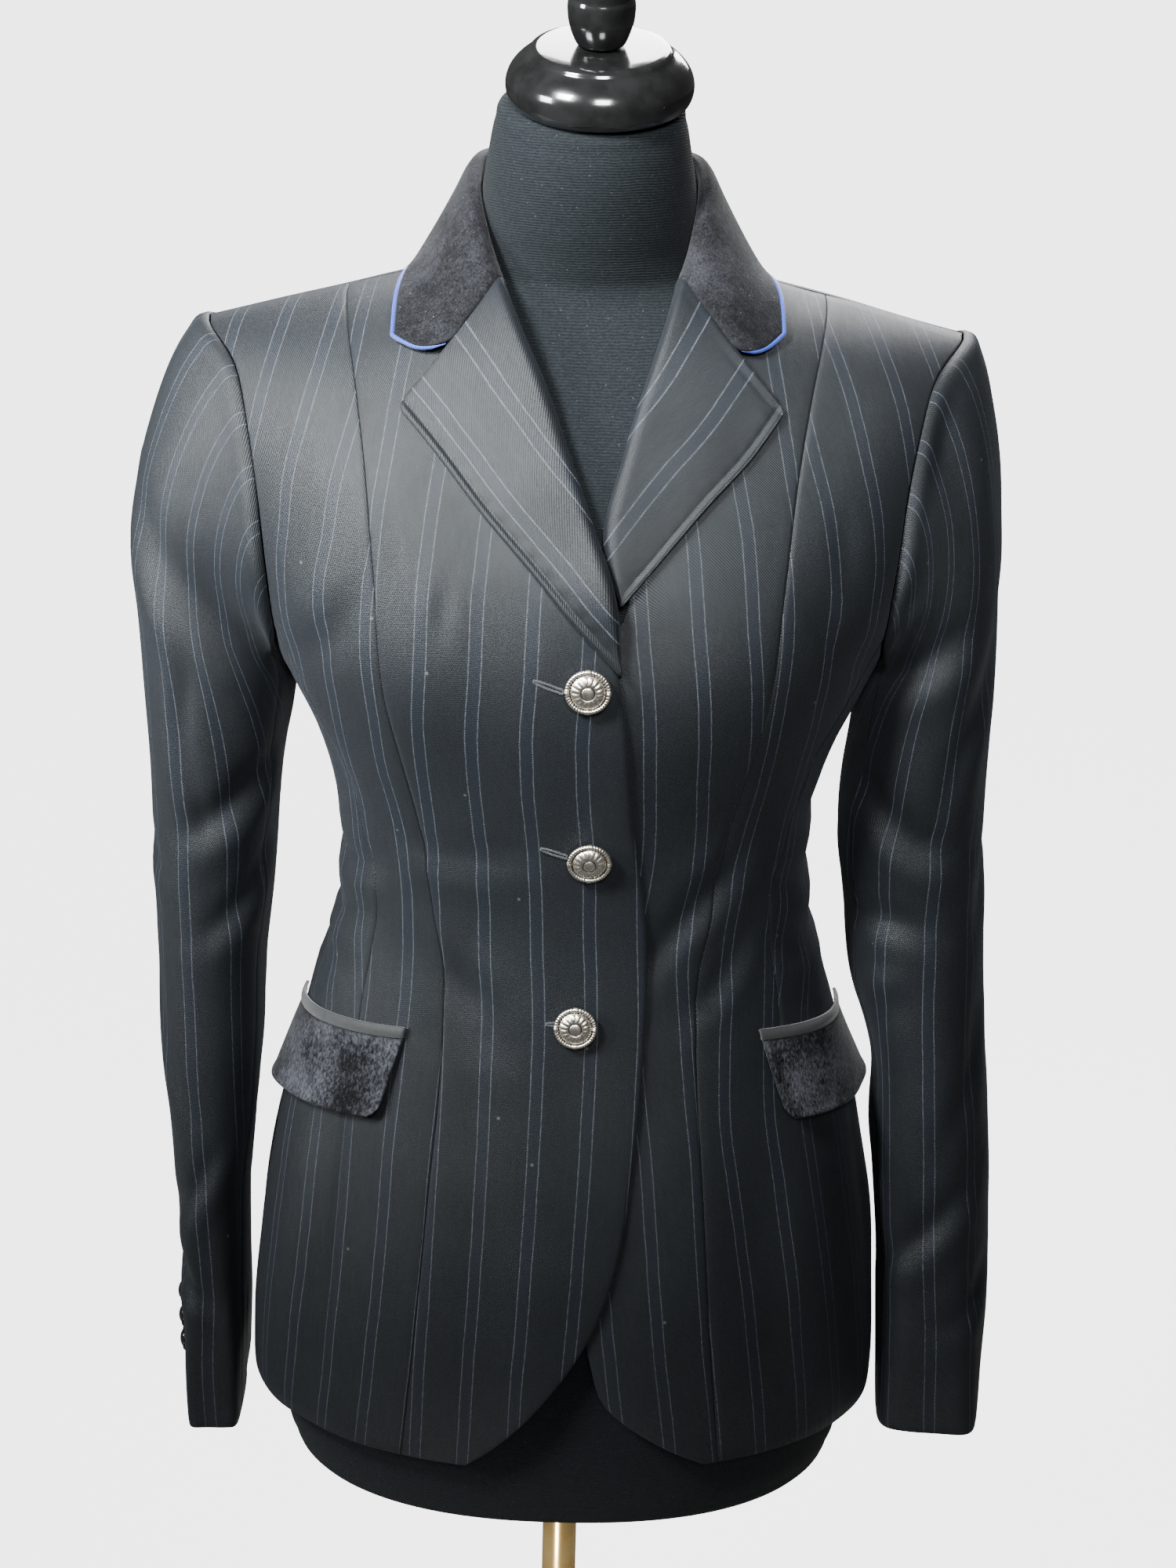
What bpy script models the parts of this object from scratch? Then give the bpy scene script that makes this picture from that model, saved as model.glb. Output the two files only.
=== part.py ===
# Equestrian show coat worn by a limbless dress form with a turned cap, finial, pole and round base.
# Metres, +Z up. The coat faces -Y and the wearer's left is +X.
# The origin is the middle of the base's underside, on the floor.

import math

import bmesh
import bpy
import numpy as np
from mathutils import Matrix, Vector


class Table:
    """Rows with named columns, read smoothly between rows. The first column is the one it is read by."""

    def __init__(self, names, *rows):
        self.names = names.split()
        self.rows = np.array(rows, float)
        steps = np.diff(self.rows[:, 0])
        slopes = np.diff(self.rows[:, 1:], axis=0) / steps[:, None]
        before, after = steps[:-1, None], steps[1:, None]
        inner = (slopes[:-1] * after + slopes[1:] * before) / (before + after)
        self.slopes = np.vstack([slopes[:1], inner, slopes[-1:]])

    def row(self, at):
        """Every column but the first, at one value of the first."""
        keys = self.rows[:, 0]
        at = min(max(at, keys[0]), keys[-1])
        i = min(max(int(np.searchsorted(keys, at)) - 1, 0), len(keys) - 2)
        step = keys[i + 1] - keys[i]
        t = (at - keys[i]) / step
        return (
            self.rows[i, 1:] * (1 + 2 * t) * (1 - t) ** 2
            + self.slopes[i] * step * t * (1 - t) ** 2
            + self.rows[i + 1, 1:] * t * t * (3 - 2 * t)
            + self.slopes[i + 1] * step * t * t * (t - 1)
        )

    def at(self, name, at):
        return float(self.row(at)[self.names.index(name) - 1])


# Cloth
WALL = 0.0020
SEAM_GAP = 0.0003
PANEL_GAP = 0.00042  # between panels, whose walls lean towards one another where they curve
LAY_GAP = 0.0007  # between a piece and the panel that it lies on

# Heights of the coat's body
HEM = 0.750
UNDERARM = 1.150  # the panels' rows are level up to here, and above it they run into the armhole
ARMPIT = 1.190
SHOULDER = 1.3835  # the shoulder seam at the neck
NECK_HALF = 0.0655  # from the middle to the neck end of the shoulder seam
BACK_NECK = 1.3640
SHOULDER_SLOPE = 0.245
SLOPE_FROM = 0.070
RIDGE = 0.012  # how far behind the axis the shoulder seam lies
SQUARENESS = 2.3

# The coat's body by level: half its width, and how far it reaches forward and back of the axis
BODY = Table(
    "level half_width front back",
    (0.740, 0.1837, 0.130, 0.130),
    (0.780, 0.1833, 0.130, 0.134),
    (0.820, 0.1812, 0.128, 0.137),
    (0.860, 0.1768, 0.124, 0.136),
    (0.900, 0.1690, 0.118, 0.129),
    (0.940, 0.1590, 0.111, 0.117),
    (0.980, 0.1475, 0.104, 0.103),
    (1.020, 0.1352, 0.099, 0.091),
    (1.055, 0.1284, 0.098, 0.083),
    (1.085, 0.1273, 0.101, 0.080),
    (1.115, 0.1290, 0.107, 0.083),
    (1.145, 0.1365, 0.116, 0.090),
    (1.175, 0.1500, 0.124, 0.098),
    (1.205, 0.1630, 0.127, 0.105),
    (1.240, 0.1760, 0.1245, 0.111),
    (1.280, 0.1890, 0.118, 0.114),
    (1.330, 0.2040, 0.110, 0.113),
    (1.3835, 0.2160, 0.104, 0.110),
)
BUST_RISE = 0.004
BUST_AT = (0.082, 1.200)
BUST_SPREAD = (0.040, 0.045)

# Seams of one half, as the distance across from the middle at each level
SEAMS = Table(
    "level princess dart",
    (0.740, 0.0890, 0.1350),
    (0.830, 0.0800, 0.1290),
    (0.920, 0.0725, 0.1215),
    (0.965, 0.0685, 0.1160),
    (1.005, 0.0665, 0.1115),
    (1.035, 0.0670, 0.1060),
    (1.065, 0.0720, 0.1025),
    (1.100, 0.0765, 0.1095),
    (1.145, 0.0850, 0.1210),
    (1.190, 0.0945, 0.1370),
    (1.255, 0.1000, 0.1500),
    (1.300, 0.1045, 0.1600),
    (1.340, 0.1110, 0.1700),
    (1.3835, 0.1215, 0.1880),
)
# The seam between side and back, as an angle from the front
SIDE_BACK = Table(
    "level angle", (0.740, 128.0), (0.900, 131.0), (1.060, 136.0), (1.150, 131.0), (1.206, 122.0)
)
ARMHOLE_BACK = (122.0, 1.206)  # angle and level where that seam meets the armhole
# The armhole from the shoulder tip down its front, under the arm and up its back
ARMHOLE_FRONT = Table(
    "share angle level",
    (0.00, 59.5, 1.3835),
    (0.16, 52.5, 1.3550),
    (0.32, 52.0, 1.3150),
    (0.48, 55.0, 1.2700),
    (0.64, 61.0, 1.2270),
    (0.78, 70.0, 1.2000),
    (0.90, 90.0, 1.1870),
    (1.00, 122.0, 1.2060),
)
ARMHOLE_BACK_RISE = Table(
    "share angle level",
    (0.00, 122.0, 1.2060),
    (0.30, 129.0, 1.2450),
    (0.60, 130.5, 1.3000),
    (0.85, 127.5, 1.3550),
    (1.00, 120.5, 1.3835),
)
DART_TOP = 0.72  # share of the armhole's front at which the dart starts
POCKET_LEVEL = 0.984  # where the dart ends, under the pocket welt

# The centre vent: the left back laps over the right one below this level
VENT_LEVEL, VENT_LAP, VENT_RISE = 0.948, 11.0, 0.0034

# Edges of the fronts, as the distance past the middle towards the wearer's own side of that front
RIGHT_EDGE = Table(
    "level across",
    (0.7500, 0.0520),
    (0.7600, 0.0400),
    (0.7730, 0.0275),
    (0.7990, 0.0066),
    (0.8330, -0.0138),
    (0.8740, -0.0274),
    (0.9260, -0.0343),
    (0.9900, -0.0387),
    (1.0737, -0.0370),
    (1.1210, -0.0298),
    (1.1850, -0.0236),
    (1.2136, -0.0190),
    (1.2450, -0.0105),
    (1.2770, -0.0010),
    (1.3086, 0.0118),
    (1.3400, 0.0260),
    (1.3720, 0.0490),
    (1.3835, 0.0655),
)
LEFT_EDGE = Table(
    "level across",
    (0.7500, 0.0800),
    (0.7560, 0.0690),
    (0.7690, 0.0495),
    (0.7900, 0.0254),
    (0.8190, 0.0150),
    (0.8500, 0.0090),
    (0.9100, -0.0060),
    (1.0000, -0.0130),
    (1.1000, -0.0130),
    (1.1800, -0.0130),
    (1.2050, -0.0090),
    (1.2200, 0.0050),
    (1.2330, 0.0200),
    (1.2450, 0.0240),
    (1.2600, 0.0205),
    (1.2720, 0.0175),
    (1.3100, 0.0265),
    (1.3420, 0.0375),
    (1.3745, 0.0530),
    (1.3835, 0.0655),
)
LAP_RISE = 0.0030  # how far the right front stands off, where it laps over the left one
LAP_FROM, LAP_TO = 0.010, 0.055
RIDER_RISE = 0.0040  # and where it rides over the foot of the left lapel
RIDER_AT = (-0.014, 1.246)
RIDER_SPREAD = 0.022

# Lapels, from the break at share 0 to the gorge at share 1: the roll line and the outer edge
RIGHT_LAPEL = Table(
    "share roll_across roll_level edge_across edge_level",
    (0.00, -0.0215, 1.2120, -0.0205, 1.2105),
    (0.20, -0.0175, 1.2453, 0.0010, 1.2325),
    (0.40, -0.0072, 1.2770, 0.0240, 1.2580),
    (0.60, 0.0058, 1.3086, 0.0465, 1.2815),
    (0.80, 0.0195, 1.3400, 0.0685, 1.3065),
    (1.00, 0.0395, 1.3745, 0.0895, 1.3290),
)
LEFT_LAPEL = Table(
    "share roll_across roll_level edge_across edge_level",
    (0.00, 0.0195, 1.2425, 0.0215, 1.2435),
    (0.25, 0.0108, 1.2720, 0.0390, 1.2635),
    (0.50, 0.0195, 1.3100, 0.0590, 1.2860),
    (0.75, 0.0300, 1.3420, 0.0800, 1.3080),
    (1.00, 0.0430, 1.3755, 0.0975, 1.3315),
)
ROLL_RISE = 0.0040
ROLL_REACH = 0.0065
NECK_LIFT = 0.0085  # how much further the fold stands off at the gorge

# Collar, from its front end at share 0 to the centre back at share 1: the middle of the fold, the foot of the
# stand and the outer edge, the last two set down on the coat
COLLAR = Table(
    "share roll_x roll_y roll_z foot_x foot_y edge_x edge_y",
    (0.00, 0.0425, -0.0380, 1.3790, 0.0470, -0.0385, 0.0915, -0.0530),
    (0.12, 0.0500, -0.0290, 1.3950, 0.0560, -0.0290, 0.0915, -0.0280),
    (0.28, 0.0578, -0.0080, 1.4150, 0.0655, -0.0060, 0.0875, 0.0050),
    (0.50, 0.0565, 0.0240, 1.4290, 0.0665, 0.0280, 0.0775, 0.0440),
    (0.75, 0.0380, 0.0550, 1.4310, 0.0440, 0.0600, 0.0500, 0.0775),
    (1.00, 0.0, 0.0670, 1.4315, 0.0, 0.0745, 0.0, 0.0900),
    (1.25, -0.0380, 0.0550, 1.4310, -0.0440, 0.0600, -0.0500, 0.0775),
)
# The two front corners, as places on the coat, and the share of each lapel's top edge at which its notch lies
RIGHT_CORNER, RIGHT_NOTCH = (0.0915, -0.0530), 0.49
LEFT_CORNER, LEFT_NOTCH = (0.0943, -0.0470), 0.53
COLLAR_ROUND = 0.0003  # how far the middle of the fall stands off the straight line
COLLAR_FOLD = 0.0032
PIPING_RADIUS = 0.0011

# Pocket of one half: angle from the front and level of the welt's and flap's corners
POCKET_ANGLES = {"right": (35.3, 93.0), "left": (42.2, 97.0)}
WELT_TOP_FRONT, WELT_TOP_BACK = 0.9985, 0.9790
WELT_HEIGHT = 0.0068
FLAP_HEIGHT = 0.0450
FLAP_STAND_OFF = (0.0030, 0.0055)  # more than its lay, at the lower front and lower back corners
FLAP_SWEEP = 2.0  # degrees by which the flap's lower corners lie further back

# Sleeves from under the arm to the cuff: the ring's height and slant, its middle, half its width across and
# front to back, its turn in degrees and its squareness
RIGHT_SLEEVE = Table(
    "share height slant x y across deep turn square",
    (0.000, 1.205, 1.00, 0.1925, 0.000, 0.0415, 0.0560, 0.0, 2.1),
    (0.085, 1.163, 0.55, 0.1940, 0.001, 0.0392, 0.0570, 2.0, 2.1),
    (0.165, 1.124, 0.25, 0.1960, 0.003, 0.0358, 0.0565, 3.0, 2.2),
    (0.245, 1.085, 0.10, 0.1978, 0.005, 0.0340, 0.0555, 4.0, 2.2),
    (0.330, 1.045, 0.05, 0.1995, 0.006, 0.0326, 0.0545, 4.0, 2.3),
    (0.425, 1.000, 0.00, 0.2018, 0.005, 0.0300, 0.0535, 4.0, 2.3),
    (0.530, 0.950, 0.00, 0.2030, 0.002, 0.0280, 0.0525, 4.0, 2.4),
    (0.635, 0.900, 0.00, 0.2040, -0.001, 0.0240, 0.0515, 4.0, 2.6),
    (0.735, 0.850, 0.00, 0.2048, -0.004, 0.0200, 0.0500, 3.0, 2.8),
    (0.835, 0.800, 0.00, 0.2044, -0.006, 0.0174, 0.0490, 3.0, 3.0),
    (0.935, 0.750, 0.00, 0.2052, -0.008, 0.0166, 0.0480, 3.0, 3.2),
    (1.000, 0.718, 0.00, 0.2052, -0.009, 0.0154, 0.0470, 3.0, 3.2),
)
LEFT_SLEEVE = Table(
    "share height slant x y across deep turn square",
    (0.000, 1.205, 1.00, 0.1850, 0.000, 0.0345, 0.0590, 0.0, 2.1),
    (0.085, 1.163, 0.55, 0.1840, 0.001, 0.0365, 0.0570, 0.0, 2.1),
    (0.165, 1.124, 0.25, 0.1838, 0.003, 0.0385, 0.0550, 0.0, 2.2),
    (0.245, 1.085, 0.10, 0.1842, 0.005, 0.0395, 0.0530, 2.0, 2.2),
    (0.330, 1.045, 0.05, 0.1890, 0.006, 0.0384, 0.0510, 4.0, 2.2),
    (0.425, 1.000, 0.00, 0.1935, 0.005, 0.0380, 0.0500, 6.0, 2.2),
    (0.530, 0.950, 0.00, 0.2035, 0.002, 0.0325, 0.0490, 8.0, 2.2),
    (0.635, 0.900, 0.00, 0.2072, -0.002, 0.0340, 0.0470, 8.0, 2.3),
    (0.735, 0.850, 0.00, 0.2120, -0.006, 0.0330, 0.0455, 8.0, 2.3),
    (0.835, 0.800, 0.00, 0.2150, -0.010, 0.0322, 0.0450, 8.0, 2.4),
    (0.935, 0.750, 0.00, 0.2165, -0.012, 0.0308, 0.0445, 8.0, 2.4),
    (1.000, 0.727, 0.00, 0.2174, -0.013, 0.0304, 0.0438, 8.0, 2.4),
)
HEAD_REACH = 0.045  # how far the sleeve head runs outward from the armhole before it drops
HEAD_ROWS = 6
SLEEVE_ROWS = 12
FRONT_SEAM, BACK_SEAM = 0.41, 0.70  # shares of the way round the sleeve from the shoulder tip, forward first

# Buttons
# Each front button's place: across, level, and how much further off the front it stands
FRONT_BUTTONS = ((0.0054, 1.2027, -0.0003), (0.0080, 1.1060, 0.0003), (0.0030, 1.0090, 0.0003))
BUTTON_RADIUS, BUTTON_HEIGHT = 0.0115, 0.0048
SHANK_RADIUS, SHANK_HEIGHT = 0.0030, 0.0022
CUFF_BUTTON_RADIUS, CUFF_BUTTON_HEIGHT, CUFF_BUTTON_PITCH = 0.0076, 0.0072, 0.0162
# Share of the way round the sleeve from outermost, forward first
CUFF_BUTTON_ROUND = {"right": 0.988, "left": 0.83}
LOWEST_CUFF_BUTTON = 0.745

# Dress form: rings by height
FORM = Table(
    "z half_width front back tilt",
    (0.684, 0.1400, 0.085, 0.095, 0.0),
    (0.690, 0.1545, 0.097, 0.107, 0.0),
    (0.704, 0.1630, 0.106, 0.116, 0.0),
    (0.730, 0.1675, 0.112, 0.122, 0.0),
    (0.790, 0.1700, 0.117, 0.123, 0.0),
    (0.860, 0.1660, 0.114, 0.125, 0.0),
    (0.930, 0.1510, 0.103, 0.110, 0.0),
    (1.000, 0.1330, 0.094, 0.090, 0.0),
    (1.060, 0.1215, 0.091, 0.076, 0.0),
    (1.100, 0.1215, 0.096, 0.074, 0.0),
    (1.150, 0.1310, 0.109, 0.084, 0.0),
    (1.200, 0.1450, 0.118, 0.096, 0.0),
    (1.250, 0.1540, 0.115, 0.103, 0.0),
    (1.290, 0.1570, 0.103, 0.1015, 0.0),
    (1.320, 0.1580, 0.086, 0.0915, 0.0),
    (1.342, 0.1540, 0.066, 0.0770, 0.0),
    (1.354, 0.1400, 0.052, 0.0655, 0.0),
    (1.3620, 0.1160, 0.042, 0.0560, 0.0),
    (1.3685, 0.0860, 0.037, 0.0500, 0.0),
    (1.3760, 0.0635, 0.035, 0.0480, 0.0),
    (1.3880, 0.0560, 0.038, 0.053, 2.0),
    (1.4070, 0.0545, 0.044, 0.053, 6.0),
    (1.4250, 0.0528, 0.048, 0.049, 10.0),
    (1.4420, 0.0500, 0.050, 0.043, 14.0),
    (1.4575, 0.0468, 0.049, 0.038, 16.5),
    (1.4646, 0.0440, 0.046, 0.035, 16.5),
    (1.4666, 0.0405, 0.042, 0.031, 16.5),
)
CAP_TILT = 16.5
CAP_AT = (0.0040, -0.0065, 1.4650)  # the middle of its underside, a little to one side as photographed
POLE_RADIUS = 0.0105
BASE_RADIUS, BASE_HEIGHT = 0.180, 0.026

COLOURS = {
    "twill": ((0.018, 0.019, 0.023), 0.62, 0.0),
    "velvet": ((0.012, 0.012, 0.014), 0.85, 0.0),
    "piping": ((0.020, 0.065, 0.420), 0.60, 0.0),
    "welt": ((0.055, 0.055, 0.058), 0.70, 0.0),
    "silver": ((0.780, 0.760, 0.740), 0.25, 1.0),
    "glossy": ((0.010, 0.010, 0.011), 0.12, 0.0),
    "jersey": ((0.020, 0.022, 0.024), 0.90, 0.0),
    "lacquer": ((0.006, 0.006, 0.006), 0.10, 0.0),
    "brass": ((0.700, 0.430, 0.180), 0.22, 1.0),
    "painted": ((0.010, 0.010, 0.011), 0.30, 0.0),
}


def material(name):
    colour, roughness, metallic = COLOURS[name]
    made = bpy.data.materials.get(name)
    if made is None:
        made = bpy.data.materials.new(name)
        made.use_nodes = True
        shader = made.node_tree.nodes["Principled BSDF"]
        shader.inputs["Base Color"].default_value = (*colour, 1.0)
        shader.inputs["Roughness"].default_value = roughness
        shader.inputs["Metallic"].default_value = metallic
    return made


def unit(vector):
    return vector / np.linalg.norm(vector)


def bump(x, y, spread_x, spread_y):
    return math.exp(-((x / spread_x) ** 2) - (y / spread_y) ** 2)


def smooth_step(low, high, x):
    """0 at the first value and 1 at the second, smooth between; the first may be the greater."""
    t = min(max((x - low) / (high - low), 0.0), 1.0)
    return t * t * (3 - 2 * t)


def body_section(level):
    """Half width, and the reach forward and back of the axis, with the round of the shoulders."""
    half, front, back = BODY.row(level)
    share = min(max((level - ARMPIT) / (SHOULDER - ARMPIT), 0.0), 1.0)
    front = -RIDGE + (front + RIDGE) * math.sqrt(1 - share**3)
    back = RIDGE + (back - RIDGE) * math.sqrt(1 - share**4)
    return half, front, back, share


def body_point(angle, level):
    """A point of the coat's outer surface. The angle is 0 degrees at the centre front and 90 at the left side."""
    half, front, back, share = body_section(level)
    s, c = math.sin(math.radians(angle)), math.cos(math.radians(angle))
    k = (abs(s) ** SQUARENESS + abs(c) ** SQUARENESS) ** (-1 / SQUARENESS)
    x = half * s * k
    y = (back - front) / 2 - (back + front) / 2 * c * k
    if c > 0:
        y -= BUST_RISE * bump(abs(x) - BUST_AT[0], level - BUST_AT[1], *BUST_SPREAD)
    past = abs(x) - SLOPE_FROM
    drop = SHOULDER_SLOPE * (math.hypot(past, 0.012) + past) / 2
    return np.array([x, y, level - share**2 * drop])


def body_normal(angle, level):
    step = 0.05
    below = level - 2e-5
    round_body = body_point(angle + step, level) - body_point(angle - step, level)
    up = body_point(angle, min(level + 2e-5, SHOULDER)) - body_point(angle, below)
    return unit(np.cross(round_body, up))


def body_angle(across, level):
    """The angle at which the body's front is this far across from the middle."""
    share = min(abs(across) / body_section(level)[0], 1.0)
    rest = (1 - share**SQUARENESS) ** (1 / SQUARENESS)
    return math.copysign(math.degrees(math.atan2(share, rest)), across)


def body_over(x, y):
    """The angle and level of the coat's surface over a place of the shoulders, seen from above."""
    low, high = ARMPIT, SHOULDER
    for _ in range(40):
        level = (low + high) / 2
        half, front, back, _ = body_section(level)
        share = min(abs(x) / half, 1.0)
        rest = (1 - share**SQUARENESS) ** (1 / SQUARENESS)
        middle, reach = (back - front) / 2, (back + front) / 2
        if abs(y - middle) < reach * rest:
            low = level
        else:
            high = level
    angle = math.degrees(math.atan2(share, math.copysign(rest, middle - y)))
    return math.copysign(angle, x), low


def over_body(x, y, lift):
    """A point at this height off the coat's surface, over a place of the shoulders."""
    angle, level = body_over(x, y)
    return body_point(angle, level) + body_normal(angle, level) * lift


def kept_off(point, lift):
    """The point, raised if need be to this height off the coat's surface."""
    lowest = over_body(point[0], point[1], lift)
    return point if point[2] > lowest[2] else np.array([point[0], point[1], lowest[2]])


def front_rise(angle, level):
    return lap_rise(body_point(angle, level)[0], level)


def lap_rise(across, level):
    """How far the right front's outer surface stands off the body there."""
    lap = LAP_RISE * (1 - smooth_step(LAP_FROM, LAP_TO, across))
    rider = RIDER_RISE * bump(across - RIDER_AT[0], level - RIDER_AT[1], RIDER_SPREAD, RIDER_SPREAD)
    return lap + rider * (1 - smooth_step(LAP_FROM, LAP_TO, across))


def grid_normals(points):
    """Outward directions of a grid, rows going up or along and columns going round."""
    along = np.gradient(points, axis=0)
    around = np.gradient(points, axis=1)
    normals = np.cross(around, along)
    return normals / np.linalg.norm(normals, axis=2, keepdims=True)


def inset(points, left=0.0, right=0.0, bottom=0.0, top=0.0):
    """The grid with its edges drawn in along its own surface."""
    moved = points.copy()
    for edge, inner, amount in ((0, 1, bottom), (-1, -2, top)):
        if amount:
            step = points[inner] - points[edge]
            moved[edge] += amount * step / np.linalg.norm(step, axis=1, keepdims=True)
    for edge, inner, amount in ((0, 1, left), (-1, -2, right)):
        if amount:
            step = points[:, inner] - points[:, edge]
            moved[:, edge] += amount * step / np.linalg.norm(step, axis=1, keepdims=True)
    return moved


def new_object(name, points, faces, material_name):
    mesh = bpy.data.meshes.new(name)
    mesh.from_pydata([tuple(p) for p in points], [], faces)
    mesh.materials.append(material(material_name))
    mesh.shade_smooth()
    mesh.set_sharp_from_angle(angle=math.radians(50))
    made = bpy.data.objects.new(name, mesh)
    bpy.context.scene.collection.objects.link(made)
    return made


def cloth(name, grids, material_name, wall=WALL, mirror=False):
    """A wall of cloth. Each grid is a pair of outer points and outward directions. Grids join where points meet."""
    outer, inner, faces, found = [], [], [], {}
    for points, normals in grids:
        rows, columns = points.shape[:2]
        index = np.zeros((rows, columns), int)
        for r in range(rows):
            for c in range(columns):
                key = tuple(np.round(points[r, c] * 1e6).astype(int))
                if key not in found:
                    found[key] = len(outer)
                    outer.append(points[r, c])
                    inner.append(points[r, c] - wall * normals[r, c])
                index[r, c] = found[key]
        for r in range(rows - 1):
            for c in range(columns - 1):
                faces.append((index[r, c], index[r, c + 1], index[r + 1, c + 1], index[r + 1, c]))
    count = len(outer)
    edges = {(f[i], f[(i + 1) % 4]) for f in faces for i in range(4)}
    rims = []
    for a, b in sorted(edges):
        if (b, a) in edges:
            continue
        # Both sides of a seam are split the same way, so that they stay clear of one another where they twist
        if outer[a][2] > outer[b][2]:
            rims += [(b, a, b + count), (a, a + count, b + count)]
        else:
            rims += [(b, a, a + count), (b, a + count, b + count)]
    backs = [tuple(i + count for i in reversed(f)) for f in faces]
    points = np.array(outer + inner)
    everything = [tuple(int(i) for i in f) for f in faces + backs + rims]
    if mirror:
        points = points * (-1, 1, 1)
        everything = [tuple(reversed(f)) for f in everything]
    return new_object(name, points, everything, material_name)


def turned(name, profile, material_name, segments, place):
    """A solid of revolution from (radius, height) pairs, bottom to top, starting and ending on its axis."""
    points, rings = [], []
    for radius, height in profile:
        if radius == 0:
            rings.append([len(points)])
            points.append((0, 0, height))
        else:
            rings.append(list(range(len(points), len(points) + segments)))
            turn = 2 * math.pi / segments
            turns = [turn * i for i in range(segments)]
            points += [(radius * math.cos(t), radius * math.sin(t), height) for t in turns]
    faces = []
    for low, high in zip(rings, rings[1:]):
        for i in range(segments):
            j = (i + 1) % segments
            if len(low) == 1:
                faces.append((low[0], high[j], high[i]))
            elif len(high) == 1:
                faces.append((low[i], low[j], high[0]))
            else:
                faces.append((low[i], low[j], high[j], high[i]))
    made = new_object(name, points, faces, material_name)
    made.matrix_world = place
    return made


def frame_at(point, direction):
    """The placement whose Z axis points in a direction."""
    turn = Vector(direction).to_track_quat("Z", "Y").to_matrix().to_4x4()
    return Matrix.Translation(Vector(point)) @ turn


# Levels of the panels' rows: the fronts have more for their curved hems, and all are alike above the underarm
LOW_LEVELS = [HEM, 0.785, 0.812, 0.842, 0.875, 0.910, 0.948]
LOW_LEVELS += [POCKET_LEVEL, 1.018, 1.050, 1.080, 1.112, UNDERARM]
FRONT_LOW_LEVELS = [HEM, 0.757, 0.768] + LOW_LEVELS[1:]
HIGH_LEVELS = [UNDERARM + (SHOULDER - UNDERARM) * (1 - (1 - s / 9) ** 1.8) for s in range(1, 10)]


def rising(top):
    """Levels above the underarm for an edge that ends at this level, in step with the shoulder's rows."""
    return [UNDERARM + (h - UNDERARM) * (top - UNDERARM) / (SHOULDER - UNDERARM) for h in HIGH_LEVELS]


def body_grid(places, rise=None):
    """Points and directions of a grid of (angle, level) places."""
    points, normals = np.zeros((*places.shape[:2], 3)), np.zeros((*places.shape[:2], 3))
    for r in range(places.shape[0]):
        for c in range(places.shape[1]):
            angle, level = places[r, c]
            normals[r, c] = body_normal(angle, level)
            points[r, c] = body_point(angle, level)
            if rise:
                points[r, c] += normals[r, c] * rise(angle, level)
    return points, normals


def princess_angle(level):
    return body_angle(SEAMS.at("princess", level), level)


def dart_angle(level):
    return body_angle(SEAMS.at("dart", level), level)


def front_places(edge, columns=7):
    rows = []
    for level in FRONT_LOW_LEVELS + HIGH_LEVELS:
        ends = body_angle(edge.at("across", level), level), princess_angle(level)
        rows.append([(angle, level) for angle in np.linspace(*ends, columns)])
    return np.array(rows)


def blended(bottom, top, left, right):
    """Places inside four edges, each a list of (angle, level), blended from all four."""
    bottom, top, left, right = (np.array(edge, float) for edge in (bottom, top, left, right))
    u = np.linspace(0, 1, len(bottom))[None, :, None]
    v = np.linspace(0, 1, len(left))[:, None, None]
    sides = left[:, None] * (1 - u) + right[:, None] * u
    ends = bottom[None] * (1 - v) + top[None] * v
    corners = (bottom[0] * (1 - u) + bottom[-1] * u) * (1 - v) + (top[0] * (1 - u) + top[-1] * u) * v
    return sides + ends - corners


def rising_places(low_left, low_right, top, left_edge, right_edge):
    """Places of a panel: level rows below the underarm, then rows running up between two edges to a top edge."""
    low = np.array([[(a, z) for a in np.linspace(low_left(z), low_right(z), len(top))] for z in LOW_LEVELS])
    high = blended(low[-1], top, [low[-1, 0]] + left_edge, [low[-1, -1]] + right_edge)
    return np.vstack([low, high[1:]])


def armhole_front(share):
    return tuple(ARMHOLE_FRONT.row(share))


def armhole_back(share):
    return tuple(ARMHOLE_BACK_RISE.row(share))


def steps_between(start, end, count):
    """Places from just after the start to the end."""
    start, end = np.array(start), np.array(end)
    return [tuple(start + (end - start) * (i + 1) / count) for i in range(count)]


# The armhole's vertices, shared by the panels and the sleeve, and the panel rows that end on the seams below it
FRONT_ARMHOLE_SHARES = [0.0, 0.08, 0.19, 0.32, 0.46, 0.59, DART_TOP, 0.77, 0.82, 0.865, 0.91, 0.955, 1.0]
BACK_ARMHOLE_SHARES = [0.0, 0.22, 0.44, 0.64, 0.81, 0.93, 1.0]
DART_COLUMN = FRONT_ARMHOLE_SHARES.index(DART_TOP)
SEAM_ROWS = len(HIGH_LEVELS) - DART_COLUMN  # rows between the underarm's level and the armhole


def side_angle(level):
    return SIDE_BACK.at("angle", level)


def side_back_seam():
    return [(side_angle(z), z) for z in np.linspace(UNDERARM, ARMHOLE_BACK[1], SEAM_ROWS + 1)[1:]]


def shoulder_places():
    """Places along the shoulder seam from the princess seam out to the armhole, as seen from the front."""
    return [(angle, SHOULDER) for angle in np.linspace(princess_angle(SHOULDER), ARMHOLE_FRONT.rows[0, 1], 6)]


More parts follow.
